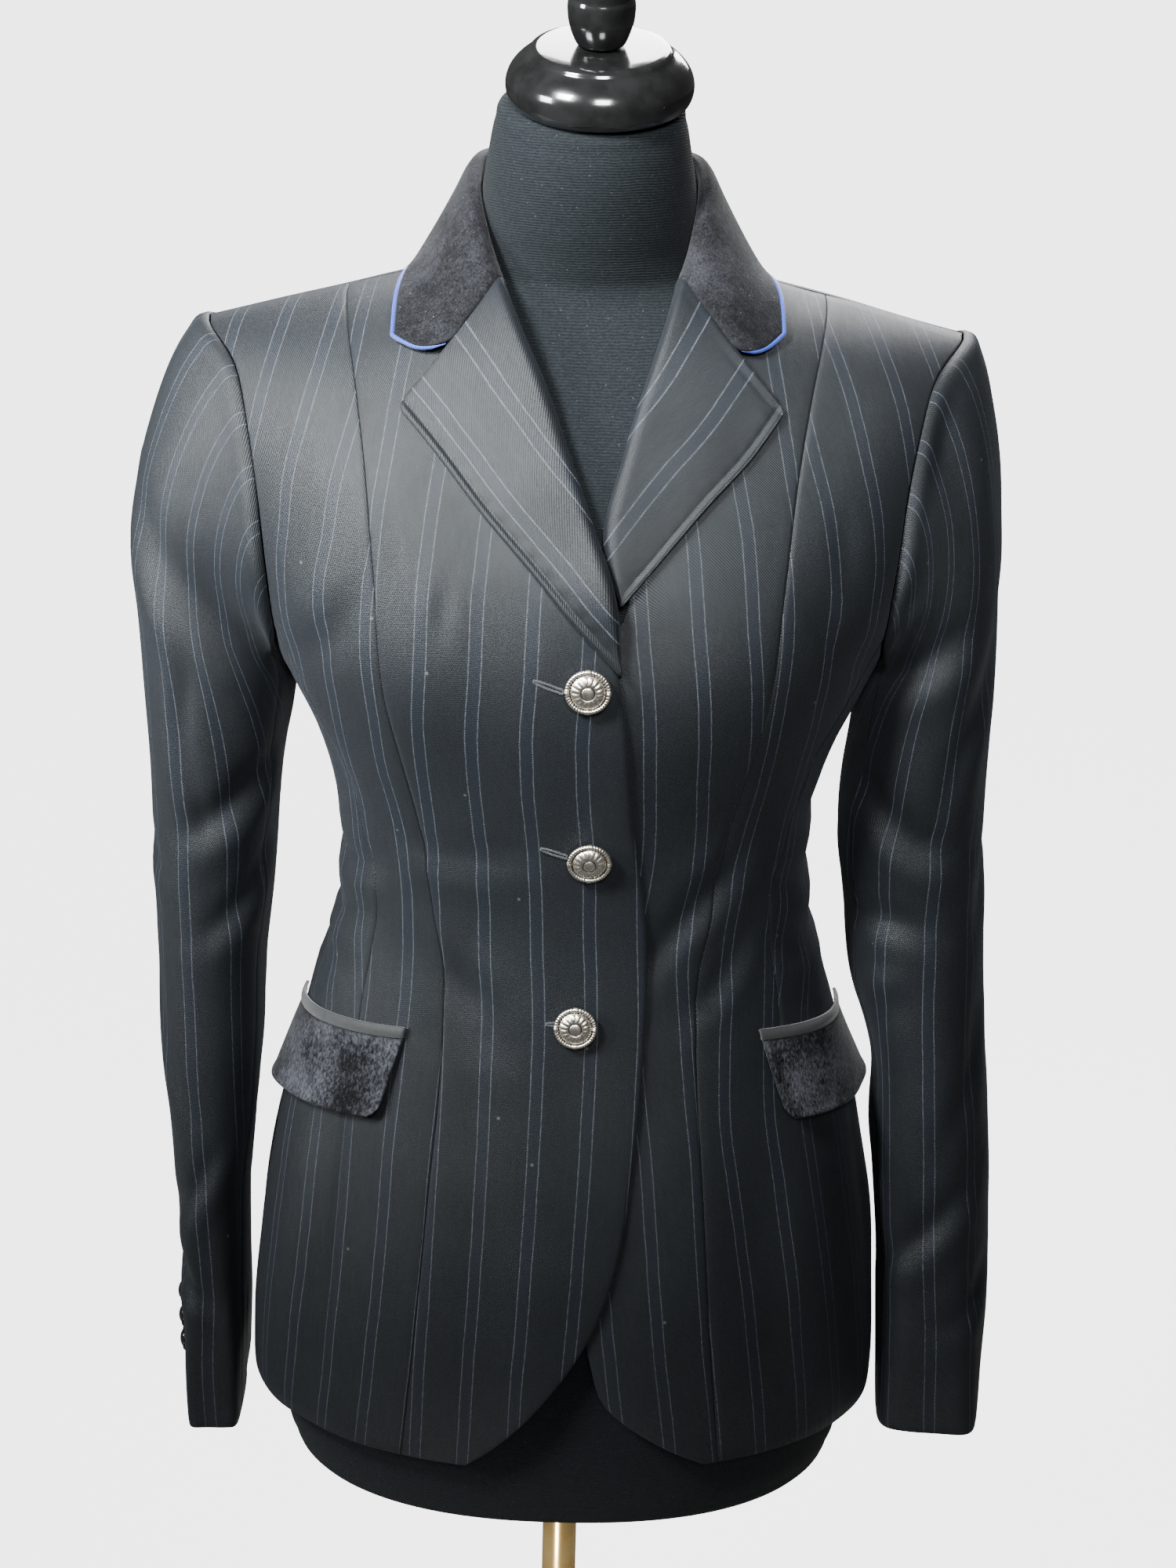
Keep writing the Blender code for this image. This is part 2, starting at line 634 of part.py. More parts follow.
def side_grids():
    """The side front in two grids, which meet below the pocket and are parted by the dart above it."""
    dart_foot, dart_top = (dart_angle(UNDERARM), UNDERARM), armhole_front(DART_TOP)
    up_armhole = [armhole_front(s) for s in FRONT_ARMHOLE_SHARES[DART_COLUMN - 1 :: -1]]
    right_edge = steps_between(dart_foot, dart_top, SEAM_ROWS) + up_armhole
    princess = [(princess_angle(z), z) for z in HIGH_LEVELS]
    fore = rising_places(princess_angle, dart_angle, shoulder_places(), princess, right_edge)
    fore_points, fore_normals = body_grid(fore)

    under_armhole = [armhole_front(s) for s in FRONT_ARMHOLE_SHARES[DART_COLUMN:]]
    dart_edge = steps_between(dart_foot, dart_top, SEAM_ROWS)
    aft_points, aft_normals = body_grid(
        rising_places(dart_angle, side_angle, under_armhole, dart_edge, side_back_seam())
    )

    slit = LOW_LEVELS.index(POCKET_LEVEL) + 1
    opened_fore = inset(fore_points, left=PANEL_GAP / 2, right=PANEL_GAP / 2, top=PANEL_GAP / 2)
    opened_aft = inset(aft_points, left=PANEL_GAP / 2, right=PANEL_GAP / 2)
    opened_fore[:slit, -1] = fore_points[:slit, -1]
    opened_aft[:slit, 0] = fore_points[:slit, -1]
    on_armhole = len(LOW_LEVELS) + SEAM_ROWS
    opened_fore[on_armhole:-1, -1] = fore_points[on_armhole:-1, -1]
    return [(opened_fore, fore_normals), (opened_aft, aft_normals)]


def vent_rise(angle, level):
    share = smooth_step(VENT_LEVEL + 0.070, VENT_LEVEL + 0.036, level)
    return VENT_RISE * share * smooth_step(168.0, 179.0, angle)


def back_grid(lap, rise):
    neck = 180 - body_angle(NECK_HALF, SHOULDER)
    seam = front_places(RIGHT_EDGE)[-1, :, 0].tolist() + [a for a, _ in shoulder_places()[1:]]
    shoulder = [(180 - angle, SHOULDER) for angle in reversed(seam)]
    dip = SHOULDER - BACK_NECK
    steps = (0.3, 0.6, 1.0)
    neckline = [(neck + (180 - neck) * t, SHOULDER - dip * math.sin(t * math.pi / 2)) for t in steps]
    left_edge = side_back_seam() + [armhole_back(s) for s in BACK_ARMHOLE_SHARES[1:]]
    right_edge = [(180.0, z) for z in rising(BACK_NECK)]

    def middle(level):
        return 180.0 + (lap if level < VENT_LEVEL + 0.001 else 0.0)

    places = rising_places(side_angle, middle, shoulder + neckline, left_edge, right_edge)
    points, normals = body_grid(places, rise)
    opened = inset(points, left=PANEL_GAP / 2, right=PANEL_GAP / 2, top=PANEL_GAP / 2)
    on_armhole = len(LOW_LEVELS) + SEAM_ROWS
    opened[on_armhole:-1, 0] = points[on_armhole:-1, 0]
    return opened, normals


def no_rise(across, level):
    return 0.0


def lapel_steps(width):
    """Distances from the roll line across a lapel: close round the fold, then even out to its edge."""
    rolled = np.minimum((0.0, 0.0010, 0.0032, ROLL_REACH), np.array((0.0, 0.06, 0.18, 0.34)) * width)
    return np.concatenate([rolled, rolled[-1] + (width - rolled[-1]) * np.linspace(0, 1, 5)[1:]])


def lapel_point(table, share, t, rise):
    """A point of a lapel's outer surface, t from the roll line to its outer edge."""
    roll_x, roll_z, edge_x, edge_z = table.row(share)
    width = math.hypot(edge_x - roll_x, edge_z - roll_z)
    small = min(1.0, width / 0.020)
    across, level = roll_x + (edge_x - roll_x) * t, roll_z + (edge_z - roll_z) * t
    angle = body_angle(across, level)
    turn = min(t * width / lapel_steps(width)[3], 1.0)
    fold = ROLL_RISE * small + NECK_LIFT * smooth_step(0.66, 1.05, share)
    lift = WALL + LAY_GAP + fold * max(1 - t, 0.0) ** 1.5
    lift = -0.0012 * small + (lift + 0.0012 * small) * math.sqrt(1 - (1 - turn) ** 2)
    return body_point(angle, level) + body_normal(angle, level) * (lift + rise(across, level))


def lapel(name, table, rise, mirror):
    """A lapel: it turns up over the front's edge at the roll line and lies on the front to its own edge."""
    grid = []
    for share in np.linspace(0, 1, 10):
        roll_x, roll_z, edge_x, edge_z = table.row(share)
        width = math.hypot(edge_x - roll_x, edge_z - roll_z)
        grid.append([lapel_point(table, share, step / width, rise) for step in lapel_steps(width)])
    points = np.array(grid)
    points[-1, -1] = 0.6 * points[-1, -1] + 0.2 * points[-2, -1] + 0.2 * points[-1, -2]
    return cloth(name, [(points, grid_normals(points))], "twill", WALL, mirror)


FALL_STEPS = (1.0, 0.82, 0.60, 0.40, 0.20, 0.0)
COLLAR_LIFT = LAY_GAP + 0.0020  # of its under side, off the coat
UP = np.array([0.0, 0.0, 1.0])


def lapel_normal(table, share, t, rise):
    along = lapel_point(table, share, t, rise) - lapel_point(table, share - 0.01, t, rise)
    across = lapel_point(table, share, t + 0.004, rise) - lapel_point(table, share, max(t - 0.004, 0.0), rise)
    return unit(np.cross(across, along))


def collar_end(table, corner, notch, rise):
    """The collar's front end as outer and inner points: from its corner to the lapel's notch, then along the
    lapel's top edge, over the fold and down to the foot of the stand."""
    angle, level = body_over(*corner)
    corner = over_body(*corner, COLLAR_LIFT + WALL)
    outer, normals = [], []
    for t in (notch, notch * 0.72, notch * 0.44, notch * 0.22, 0.045, 0.012, 0.0):
        at_top, below = lapel_point(table, 1.0, t, rise), lapel_point(table, 0.98, t, rise)
        outer.append(at_top + unit(at_top - below) * (SEAM_GAP + 0.0011))
        normals.append(lapel_normal(table, 1.0, t, rise))
    middle = (corner + outer[0]) / 2
    middle = over_body(middle[0], middle[1], COLLAR_LIFT + WALL)
    outer = np.array([corner, middle] + outer)
    normals = np.array([body_normal(angle, level), normals[0]] + normals)
    return outer, outer - WALL * normals


def collar_line(share, end):
    """Points of the collar's under side at one place of its half: its edge, up the fall, over the fold, the foot."""
    row = COLLAR.row(share)
    roll, edge = row[:3], over_body(*row[5:7], COLLAR_LIFT)
    foot = over_body(*row[3:5], LAY_GAP)
    out = unit((edge - roll) * (1, 1, 0)) if share < 0.95 else np.array([0.0, 1.0, 0.0])
    start = roll + COLLAR_FOLD * unit(out + 0.8 * UP)
    bow = unit(out + 0.8 * UP) * COLLAR_ROUND
    fall = [start + (edge - start) * t + 4 * t * (1 - t) * bow for t in FALL_STEPS]
    crown = [roll + COLLAR_FOLD * UP, roll - COLLAR_FOLD * out]
    line = np.array(fall + crown + [foot - WALL * out])
    if share:
        first = collar_line(0.0, end)
        line += (end[1] - first) * (1 - smooth_step(0.0, 0.34, share))
    return line


def collar_section(share, end):
    """The closed outline of the collar at one place of its half, outer side first."""
    if share == 0:
        return np.concatenate([end[0], end[1][::-1]])
    line = collar_line(share, end)
    count = len(FALL_STEPS)
    line[:count] = [kept_off(p, COLLAR_LIFT) for p in line[:count]]
    line[-1] = kept_off(line[-1], LAY_GAP)
    outer = []
    for i, p in enumerate(line):
        slope = line[min(i + 1, len(line) - 1)] - line[max(i - 1, 0)]
        ahead = collar_line(min(share + 0.02, 1.2), end)[i] - collar_line(share - 0.02, end)[i]
        outer.append(p + WALL * unit(np.cross(ahead, slope)))
    outer[-1] = kept_off(outer[-1], LAY_GAP)
    return np.concatenate([outer, line[::-1]])


COLLAR_SHARES = (0.0, 0.05, 0.11, 0.18, 0.26, 0.35, 0.45, 0.57, 0.70, 0.85, 1.0)


def collar_sections():
    """Outlines from the right front end round the back to the left one."""
    right_end = collar_end(RIGHT_LAPEL, RIGHT_CORNER, RIGHT_NOTCH, lap_rise)
    left_end = collar_end(LEFT_LAPEL, LEFT_CORNER, LEFT_NOTCH, no_rise)
    right = [collar_section(share, right_end) * (-1, 1, 1) for share in COLLAR_SHARES]
    left = [collar_section(share, left_end) for share in COLLAR_SHARES]
    return right + left[-2::-1]


def collar():
    sections = collar_sections()
    ring = len(sections[0])
    points = [p for section in sections for p in section]
    faces = []
    for s in range(len(sections) - 1):
        for i in range(ring):
            j = (i + 1) % ring
            a, b = s * ring, (s + 1) * ring
            faces.append((a + i, a + j, b + j, b + i))
    last = (len(sections) - 1) * ring
    # The two ends are closed strip by strip, across the wall
    for i in range(ring // 2 - 1):
        j, k, m = i + 1, ring - 1 - i, ring - 2 - i
        faces.append((i, k, m, j))
        faces.append((last + i, last + j, last + m, last + k))
    return new_object("collar", points, faces, "velvet")


def tube(name, path, radius, material_name, sides=6):
    """A round cord along a path, closed at its ends."""
    points, faces = [], []
    path = [np.array(p) for p in path]
    for i, p in enumerate(path):
        along = unit(path[min(i + 1, len(path) - 1)] - path[max(i - 1, 0)])
        side = unit(np.cross(along, (0, 0, 1)))
        up = np.cross(side, along)
        for k in range(sides):
            turn = 2 * math.pi * k / sides
            points.append(p + radius * (math.cos(turn) * side + math.sin(turn) * up))
    for i in range(len(path) - 1):
        for k in range(sides):
            j = (k + 1) % sides
            faces.append((i * sides + k, (i + 1) * sides + k, (i + 1) * sides + j, i * sides + j))
    faces.append(tuple(range(sides)))
    faces.append(tuple((len(path) - 1) * sides + k for k in reversed(range(sides))))
    return new_object(name, points, faces, material_name)


def collar_piping():
    """The cord along the collar's outer edge and round its front corners to the notches."""
    sections = collar_sections()
    ring = len(sections[0])
    middles = [[(sec[i] + sec[ring - 1 - i]) / 2 for i in range(3)] for sec in sections]
    walls = [[sec[i] - sec[ring - 1 - i] for i in range(3)] for sec in sections]
    line = [middles[0][2], middles[0][1]] + [m[0] for m in middles] + [middles[-1][1], middles[-1][2]]
    above = [walls[0][2], walls[0][1]] + [w[0] for w in walls] + [walls[-1][1], walls[-1][2]]
    path = []
    for i, p in enumerate(line):
        before, after = unit(p - line[max(i - 1, 0)] + 1e-9), unit(line[min(i + 1, len(line) - 1)] - p + 1e-9)
        if i in (0, len(line) - 1):
            before = after = after if i == 0 else before
        outs = [unit(np.cross(unit(above[i]), step)) for step in (before, after)]
        mitre = unit(outs[0] + outs[1])
        path.append(p + mitre * (PIPING_RADIUS + SEAM_GAP + 0.0003) / max(float(np.dot(mitre, outs[0])), 0.5))
    end = path[0] - path[1]
    path[0] = path[0] - unit(end) * 0.0024
    end = path[-1] - path[-2]
    path[-1] = path[-1] - unit(end) * 0.0024
    return tube("collar_piping", path, PIPING_RADIUS, "piping")


def pocket_grid(side, downs, rises):
    """Points of a pocket piece, from its front to its back, at distances down from the welt's top."""
    front, back = POCKET_ANGLES[side]
    points = np.zeros((len(downs), 9, 3))
    for r, down in enumerate(downs):
        sweep = FLAP_SWEEP * max(down - WELT_HEIGHT, 0.0) / FLAP_HEIGHT
        for c, u in enumerate(np.linspace(0, 1, 9)):
            angle = front + (back - front) * u + sweep
            level = WELT_TOP_FRONT + (WELT_TOP_BACK - WELT_TOP_FRONT) * u - down
            points[r, c] = body_point(angle, level) + body_normal(angle, level) * rises(u, r)
    return points


def pocket(side, mirror):
    welt = pocket_grid(side, (WELT_HEIGHT, 0.0), lambda u, r: WALL + LAY_GAP + 0.0002)
    cloth("pocket_welt_" + side, [(welt, grid_normals(welt))], "welt", WALL, mirror)
    drops = (1.0, 0.66, 0.33, 0.0)
    downs = [WELT_HEIGHT + SEAM_GAP + FLAP_HEIGHT * drop for drop in drops]
    front, back = FLAP_STAND_OFF

    def off(u, r):
        return WALL + LAY_GAP + (front + (back - front) * u) * drops[r] ** 1.3

    flap = pocket_grid(side, downs, off)
    cloth("pocket_flap_" + side, [(flap, grid_normals(flap))], "velvet", WALL, mirror)


def armhole_loop():
    """Places round the armhole from the shoulder tip, forward first: shares of the way round and (angle, level)."""
    front = [armhole_front(s) for s in FRONT_ARMHOLE_SHARES]
    back = [armhole_back(s) for s in BACK_ARMHOLE_SHARES[1:]]
    places = front + back
    points = [body_point(*p) for p in places]
    lengths = np.concatenate([[0.0], np.cumsum([np.linalg.norm(b - a) for a, b in zip(points, points[1:])])])
    return lengths / lengths[-1], places, points


def sleeve_ring(table, share, round_share):
    """A point of the sleeve below its head. Round share 0 is outermost, and a quarter is at the front."""
    height, slant, x, y, across, deep, turn, square = table.row(share)
    angle = 2 * math.pi * round_share
    c, s = math.cos(angle), math.sin(angle)
    k = (abs(c) ** square + abs(s) ** square) ** (-1 / square)
    dx, dy = across * c * k, -deep * s * k
    turn = math.radians(turn)
    dx, dy = dx * math.cos(turn) + dy * math.sin(turn), dy * math.cos(turn) - dx * math.sin(turn)
    return np.array([x + dx, y + dy, height + slant * dx])


def sleeve_grid(table):
    """Outer points of the whole sleeve: rows from the cuff to the armhole, columns round from the shoulder tip."""
    shares, places, edge = armhole_loop()
    count = len(places)
    starts, leaving, unders = [], [], []
    for i, (angle, level) in enumerate(places):
        before, after = edge[(i - 1) % (count - 1)], edge[(i + 1) % (count - 1)]
        normal = body_normal(angle, level)
        outward = unit(np.cross(normal, unit(after - before)))
        under = smooth_step(0.35, 1.0, (SHOULDER - level) / (SHOULDER - ARMPIT))
        turn = math.radians(20 + 95 * under)
        direction = math.cos(turn) * outward + math.sin(turn) * normal
        starts.append(edge[i] + direction * PANEL_GAP * 1.4)
        unders.append(under)
        leaving.append(direction)
    ring = [sleeve_ring(table, 0.0, s) for s in shares]
    below = [sleeve_ring(table, 0.02, s) for s in shares]
    rows = []
    for row in range(HEAD_ROWS):
        t = row / HEAD_ROWS
        line = []
        for i in range(count):
            reach = np.linalg.norm(ring[i] - starts[i])
            down = unit(below[i] - ring[i]) * reach * 1.1
            out = leaving[i] * min(HEAD_REACH, reach * (0.9 - 0.3 * unders[i]))
            line.append(
                starts[i] * (1 + 2 * t) * (1 - t) ** 2
                + out * t * (1 - t) ** 2
                + ring[i] * t * t * (3 - 2 * t)
                + down * t * t * (t - 1)
            )
        rows.append(line)
    for share in np.linspace(0, 1, SLEEVE_ROWS):
        rows.append([sleeve_ring(table, share, s) for s in shares])
    return shares, np.array(rows[::-1]), np.array([body_normal(*place) for place in places]), np.array(unders)


def sleeve(side, table, mirror):
    shares, points, edge_normals, unders = sleeve_grid(table)
    points = points[:, ::-1]
    wrapped = np.concatenate([points[:, -2:-1], points, points[:, 1:2]], axis=1)
    normals = grid_normals(wrapped)[:, 1:-1]
    kept = unders[::-1, None]
    normals[-1] = edge_normals[::-1] * (1 - kept) + normals[-1] * kept
    normals[-1] /= np.linalg.norm(normals[-1], axis=1, keepdims=True)
    shares = 1 - shares[::-1]
    last = len(shares) - 1
    front = int(np.argmin(abs(shares - (1 - FRONT_SEAM))))
    back = int(np.argmin(abs(shares - (1 - BACK_SEAM))))
    top_columns = list(range(front, last)) + list(range(0, back + 1))
    for name, columns in (("top_sleeve_", top_columns), ("under_sleeve_", list(range(back, front + 1)))):
        half = inset(points[:, columns], left=PANEL_GAP * 0.8, right=PANEL_GAP * 0.8)
        cloth(name + side, [(half, normals[:, columns])], "twill", WALL, mirror)


def front_button(name, across, level, off):
    angle = body_angle(across, level)
    normal = body_normal(angle, level)
    foot = body_point(angle, level) + normal * (lap_rise(-across, level) + SEAM_GAP + off)
    base = SHANK_HEIGHT
    profile = [(0, 0), (SHANK_RADIUS, 0), (SHANK_RADIUS, base), (BUTTON_RADIUS - 0.0012, base)]
    profile += [(BUTTON_RADIUS, base + 0.0008), (BUTTON_RADIUS, base + 0.0016)]
    profile.append((BUTTON_RADIUS - 0.0011, base + 0.0026))
    rise = BUTTON_HEIGHT - 0.0026
    dome = ((0.80, 0.15), (0.60, 0.55), (0.32, 0.90))
    profile += [(BUTTON_RADIUS * c, base + 0.0026 + rise * s) for c, s in dome]
    profile.append((0, base + BUTTON_HEIGHT))
    turned(name, profile, "silver", 18, frame_at(foot, normal))


def sleeve_spot(points, shares, height, round_share):
    """The place on the sleeve's faces at one height and share of the way round."""
    column = min(max(int(np.searchsorted(shares, round_share)) - 1, 0), len(shares) - 2)
    t = (round_share - shares[column]) / (shares[column + 1] - shares[column])
    line = points[:, column] * (1 - t) + points[:, column + 1] * t
    return np.array([np.interp(height, line[:, 2], line[:, axis]) for axis in range(3)])


def cuff_buttons(side, table, mirror):
    shares, points = sleeve_grid(table)[:2]
    points = points[: SLEEVE_ROWS]
    turned_to = CUFF_BUTTON_ROUND[side]
    r, h = CUFF_BUTTON_RADIUS, CUFF_BUTTON_HEIGHT
    profile = [(0, 0), (0.36 * r, 0), (0.34 * r, 0.36 * h), (0.92 * r, 0.42 * h), (r, 0.62 * h), (0.64 * r, 0.92 * h), (0, h)]
    for number in range(3):
        height = LOWEST_CUFF_BUTTON + number * CUFF_BUTTON_PITCH
        place = sleeve_spot(points, shares, height, turned_to)
        above, below = (sleeve_spot(points, shares, height + step, turned_to) for step in (0.006, -0.006))
        behind, ahead = (sleeve_spot(points, shares, height, turned_to + step) for step in (-0.01, 0.01))
        normal = unit(np.cross(behind - ahead, above - below))
        foot = place + normal * (SEAM_GAP + 0.0002)
        if mirror:
            foot, normal = foot * (-1, 1, 1), normal * (-1, 1, 1)
        turned("cuff_button_%s_%d" % (side, number + 1), profile, "glossy", 12, frame_at(foot, normal))


def dress_form():
    sides = 28
    heights = FORM.rows[:, 0]
    points, faces, rings = [], [], []
    for z in heights:
        half, front, back, tilt = FORM.row(z)
        exponent = 2.3 if z < 1.33 else 2.0
        ring = []
        for i in range(sides):
            angle = 2 * math.pi * i / sides
            s, c = math.sin(angle), math.cos(angle)
            k = (abs(s) ** exponent + abs(c) ** exponent) ** (-1 / exponent)
            y = (back - front) / 2 - (back + front) / 2 * c * k
            ring.append(len(points))
            points.append((half * s * k, y, z + y * math.tan(math.radians(tilt))))
        rings.append(ring)
    for low, high in zip(rings, rings[1:]):
        for i in range(sides):
            j = (i + 1) % sides
            faces.append((low[i], low[j], high[j], high[i]))
    faces.append(tuple(reversed(rings[0])))
    faces.append(tuple(rings[-1]))
    new_object("dress_form", points, faces, "jersey")


def stand():
    turn = Matrix.Rotation(math.radians(CAP_TILT), 4, "X")
    place = Matrix.Translation(CAP_AT) @ turn
    cap = [(0, 0), (0.0425, 0), (0.0446, 0.0015), (0.0462, 0.0060), (0.0460, 0.0110), (0.0438, 0.0160)]
    cap += [(0.0395, 0.0205), (0.0355, 0.0230), (0.0345, 0.0250), (0.0325, 0.0265), (0, 0.0270)]
    turned("neck_cap", cap, "lacquer", 32, place)
    finial = [(0, 0), (0.0112, 0), (0.0130, 0.0030), (0.0152, 0.0085), (0.0164, 0.0150), (0.0164, 0.0215)]
    finial += [(0.0150, 0.0238), (0.0154, 0.0262), (0.0150, 0.0290), (0.0125, 0.0302), (0.0127, 0.0335)]
    finial += [(0.0085, 0.0350), (0.0062, 0.0385), (0.0072, 0.0430), (0.0098, 0.0490), (0.0092, 0.0555)]
    finial += [(0.0058, 0.0610), (0, 0.0640)]
    above = place @ Matrix.Translation((0, 0, 0.0270 + SEAM_GAP))
    turned("finial", finial, "lacquer", 16, above)
    pole_top, pole_low = FORM.rows[0, 0] - SEAM_GAP, BASE_HEIGHT + SEAM_GAP
    pole = [(0, pole_low), (POLE_RADIUS - 0.0006, pole_low), (POLE_RADIUS, pole_low + 0.0006)]
    pole += [(POLE_RADIUS, pole_top - 0.0006), (POLE_RADIUS - 0.0006, pole_top), (0, pole_top)]
    turned("pole", pole, "brass", 16, Matrix.Identity(4))
    r, h = BASE_RADIUS, BASE_HEIGHT
    base = [(0, 0), (r - 0.0020, 0), (r, 0.0020), (r, 0.0105), (r - 0.0030, 0.0145), (r - 0.0110, 0.0160)]
    base += [(r - 0.0150, 0.0180), (0.060, 0.0210), (0.031, 0.0235), (0.030, h), (0, h)]
    turned("base", base, "painted", 40, Matrix.Identity(4))


for leftover in list(bpy.data.objects):
    bpy.data.objects.remove(leftover, do_unlink=True)

for side, edge, mirror in (("right", RIGHT_EDGE, True), ("left", LEFT_EDGE, False)):
    points, normals = body_grid(front_places(edge), front_rise if side == "right" else None)
    points = inset(points, right=PANEL_GAP / 2, top=PANEL_GAP / 2)
    cloth("front_" + side, [(points, normals)], "twill", WALL, mirror)
    cloth("side_" + side, side_grids(), "twill", WALL, mirror)
    lap = (VENT_LAP, vent_rise) if side == "left" else (0.0, None)
    points, normals = back_grid(*lap)
    cloth("back_" + side, [(points, normals)], "twill", WALL, mirror)
    sleeve(side, RIGHT_SLEEVE if side == "right" else LEFT_SLEEVE, mirror)
    pocket(side, mirror)
    cuff_buttons(side, RIGHT_SLEEVE if side == "right" else LEFT_SLEEVE, mirror)

lapel("lapel_right", RIGHT_LAPEL, lap_rise, True)
lapel("lapel_left", LEFT_LAPEL, no_rise, False)
collar()
collar_piping()
for number, place in enumerate(FRONT_BUTTONS):
    front_button("front_button_%d" % (number + 1), *place)
dress_form()
stand()
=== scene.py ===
import math

import bmesh
import bpy
import numpy as np
from mathutils import Matrix, Vector


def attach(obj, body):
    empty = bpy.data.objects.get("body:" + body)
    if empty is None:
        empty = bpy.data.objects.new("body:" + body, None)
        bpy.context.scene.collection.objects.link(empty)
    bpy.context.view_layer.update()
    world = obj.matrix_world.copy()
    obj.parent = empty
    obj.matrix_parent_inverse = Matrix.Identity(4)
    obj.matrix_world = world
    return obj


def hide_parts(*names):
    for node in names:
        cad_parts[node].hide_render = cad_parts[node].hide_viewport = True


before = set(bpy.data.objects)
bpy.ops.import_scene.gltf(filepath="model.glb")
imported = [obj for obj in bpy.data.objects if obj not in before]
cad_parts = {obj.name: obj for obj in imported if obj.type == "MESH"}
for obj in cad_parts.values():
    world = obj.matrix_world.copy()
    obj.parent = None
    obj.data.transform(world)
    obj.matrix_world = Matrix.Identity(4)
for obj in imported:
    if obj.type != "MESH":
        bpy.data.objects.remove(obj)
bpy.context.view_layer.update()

print("camera")
cameraSettings = {
    "focal": 54.07, "sensor": 36.0, "place": (0.0065, -1.2, 1.565), "pitch": 21.0, "roll": 1.4,
}


def makeCamera(values):
    pitch, roll = math.radians(values["pitch"]), math.radians(values["roll"])
    ahead = Vector((0, math.cos(pitch), -math.sin(pitch)))
    right, up = Vector((1, 0, 0)), Vector((0, math.sin(pitch), math.cos(pitch)))
    rolledRight = right * math.cos(roll) + up * math.sin(roll)
    rolledUp = up * math.cos(roll) - right * math.sin(roll)
    turn = Matrix((rolledRight, rolledUp, -ahead)).transposed().to_4x4()
    data = bpy.data.cameras.new("camera")
    data.lens, data.sensor_fit, data.sensor_height = values["focal"], "VERTICAL", values["sensor"]
    camera = bpy.data.objects.new("camera", data)
    camera.matrix_world = Matrix.Translation(values["place"]) @ turn
    bpy.context.scene.collection.objects.link(camera)
    bpy.context.scene.camera = camera


makeCamera(cameraSettings)


# Measuring and surface helpers, all of them for whole arrays of places
def hermite(a, slopeA, b, slopeB, t):
    return (
        a * (1 + 2 * t) * (1 - t) ** 2 + slopeA * t * (1 - t) ** 2
        + b * t * t * (3 - 2 * t) + slopeB * t * t * (t - 1)
    )


class Curve:
    # Rows of values read smoothly by their first one
    def __init__(self, *rows):
        self.rows = np.array(rows, float)
        steps = np.diff(self.rows[:, 0])
        slopes = np.diff(self.rows[:, 1:], axis=0) / steps[:, None]
        inner = slopes[:-1] * steps[1:, None] + slopes[1:] * steps[:-1, None]
        self.slopes = np.vstack([slopes[:1], inner / (steps[:-1] + steps[1:])[:, None], slopes[-1:]])

    def __call__(self, at):
        keys = self.rows[:, 0]
        at = np.clip(np.asarray(at, float), keys[0], keys[-1])
        i = np.clip(np.searchsorted(keys, at) - 1, 0, len(keys) - 2)
        step = (keys[i + 1] - keys[i])[..., None]
        t = (at - keys[i])[..., None] / step
        return hermite(self.rows[i, 1:], self.slopes[i] * step, self.rows[i + 1, 1:], self.slopes[i + 1] * step, t)


def inMillimetres(*rows):
    return Curve(*(np.array(rows) / 1000))


def smoothStep(low, high, x):
    t = np.clip((x - low) / (high - low), 0.0, 1.0)
    return t * t * (3 - 2 * t)


def unit(v):
    return v / np.maximum(np.linalg.norm(v, axis=-1, keepdims=True), 1e-12)


def both(first, second):
    return np.broadcast_arrays(np.asarray(first, float), np.asarray(second, float))


def pairUp(first, second):
    return np.stack(both(first, second), axis=-1)


def hump(x, at, width):
    return np.exp(-(((x - at) / width) ** 2))


def swell(x, y, spreadX, spreadY):
    return hump(x, 0.0, spreadX) * hump(y, 0.0, spreadY)


def squared(angle, square):
    # Cosine and sine on a circle with its sides pressed flatter
    c, s = np.cos(angle), np.sin(angle)
    k = (np.abs(s) ** square + np.abs(c) ** square) ** (-1 / square)
    return c * k, s * k


def lengthAlong(points, axis=0):
    # Length from the first point of each line to every other one
    steps = np.linalg.norm(np.diff(points, axis=axis), axis=-1)
    return np.cumsum(np.insert(steps, 0, 0.0, axis=axis), axis=axis)


def fine(values, parts):
    # A list of places with each step cut into equal parts
    values = np.asarray(values, float)
    at = np.linspace(0, len(values) - 1, (len(values) - 1) * parts + 1)
    low = np.minimum(at.astype(int), len(values) - 2)
    t = (at - low).reshape(-1, *[1] * (values.ndim - 1))
    return values[low] * (1 - t) + values[low + 1] * t


coat = {
    "wall": 0.0019, "underarm": 1.15, "armpit": 1.19, "shoulder": 1.3835, "neckHalf": 0.0655,
    "backNeck": 1.364, "slope": 0.245, "slopeFrom": 0.07, "ridge": 0.012, "square": 2.3,
    "bustRise": 0.004, "bustAt": (0.082, 1.2), "bustSpread": (0.04, 0.045),
    "lapRise": 0.003, "lapFrom": 0.01, "lapTo": 0.055,
    "riderRise": 0.004, "riderAt": (-0.014, 1.246), "riderSpread": 0.022,
    "ventLevel": 0.948, "ventLap": 11.0, "ventRise": 0.0034, "ventFull": 0.036, "ventEnd": 0.07,
    "dartFoot": 0.984, "dartShare": 0.72, "seamTop": 1.206, "bottom": 0.74, "backStripe": 0.0137,
    "unevenness": 0.0006, "seed": {"right": 3, "left": 4},
}
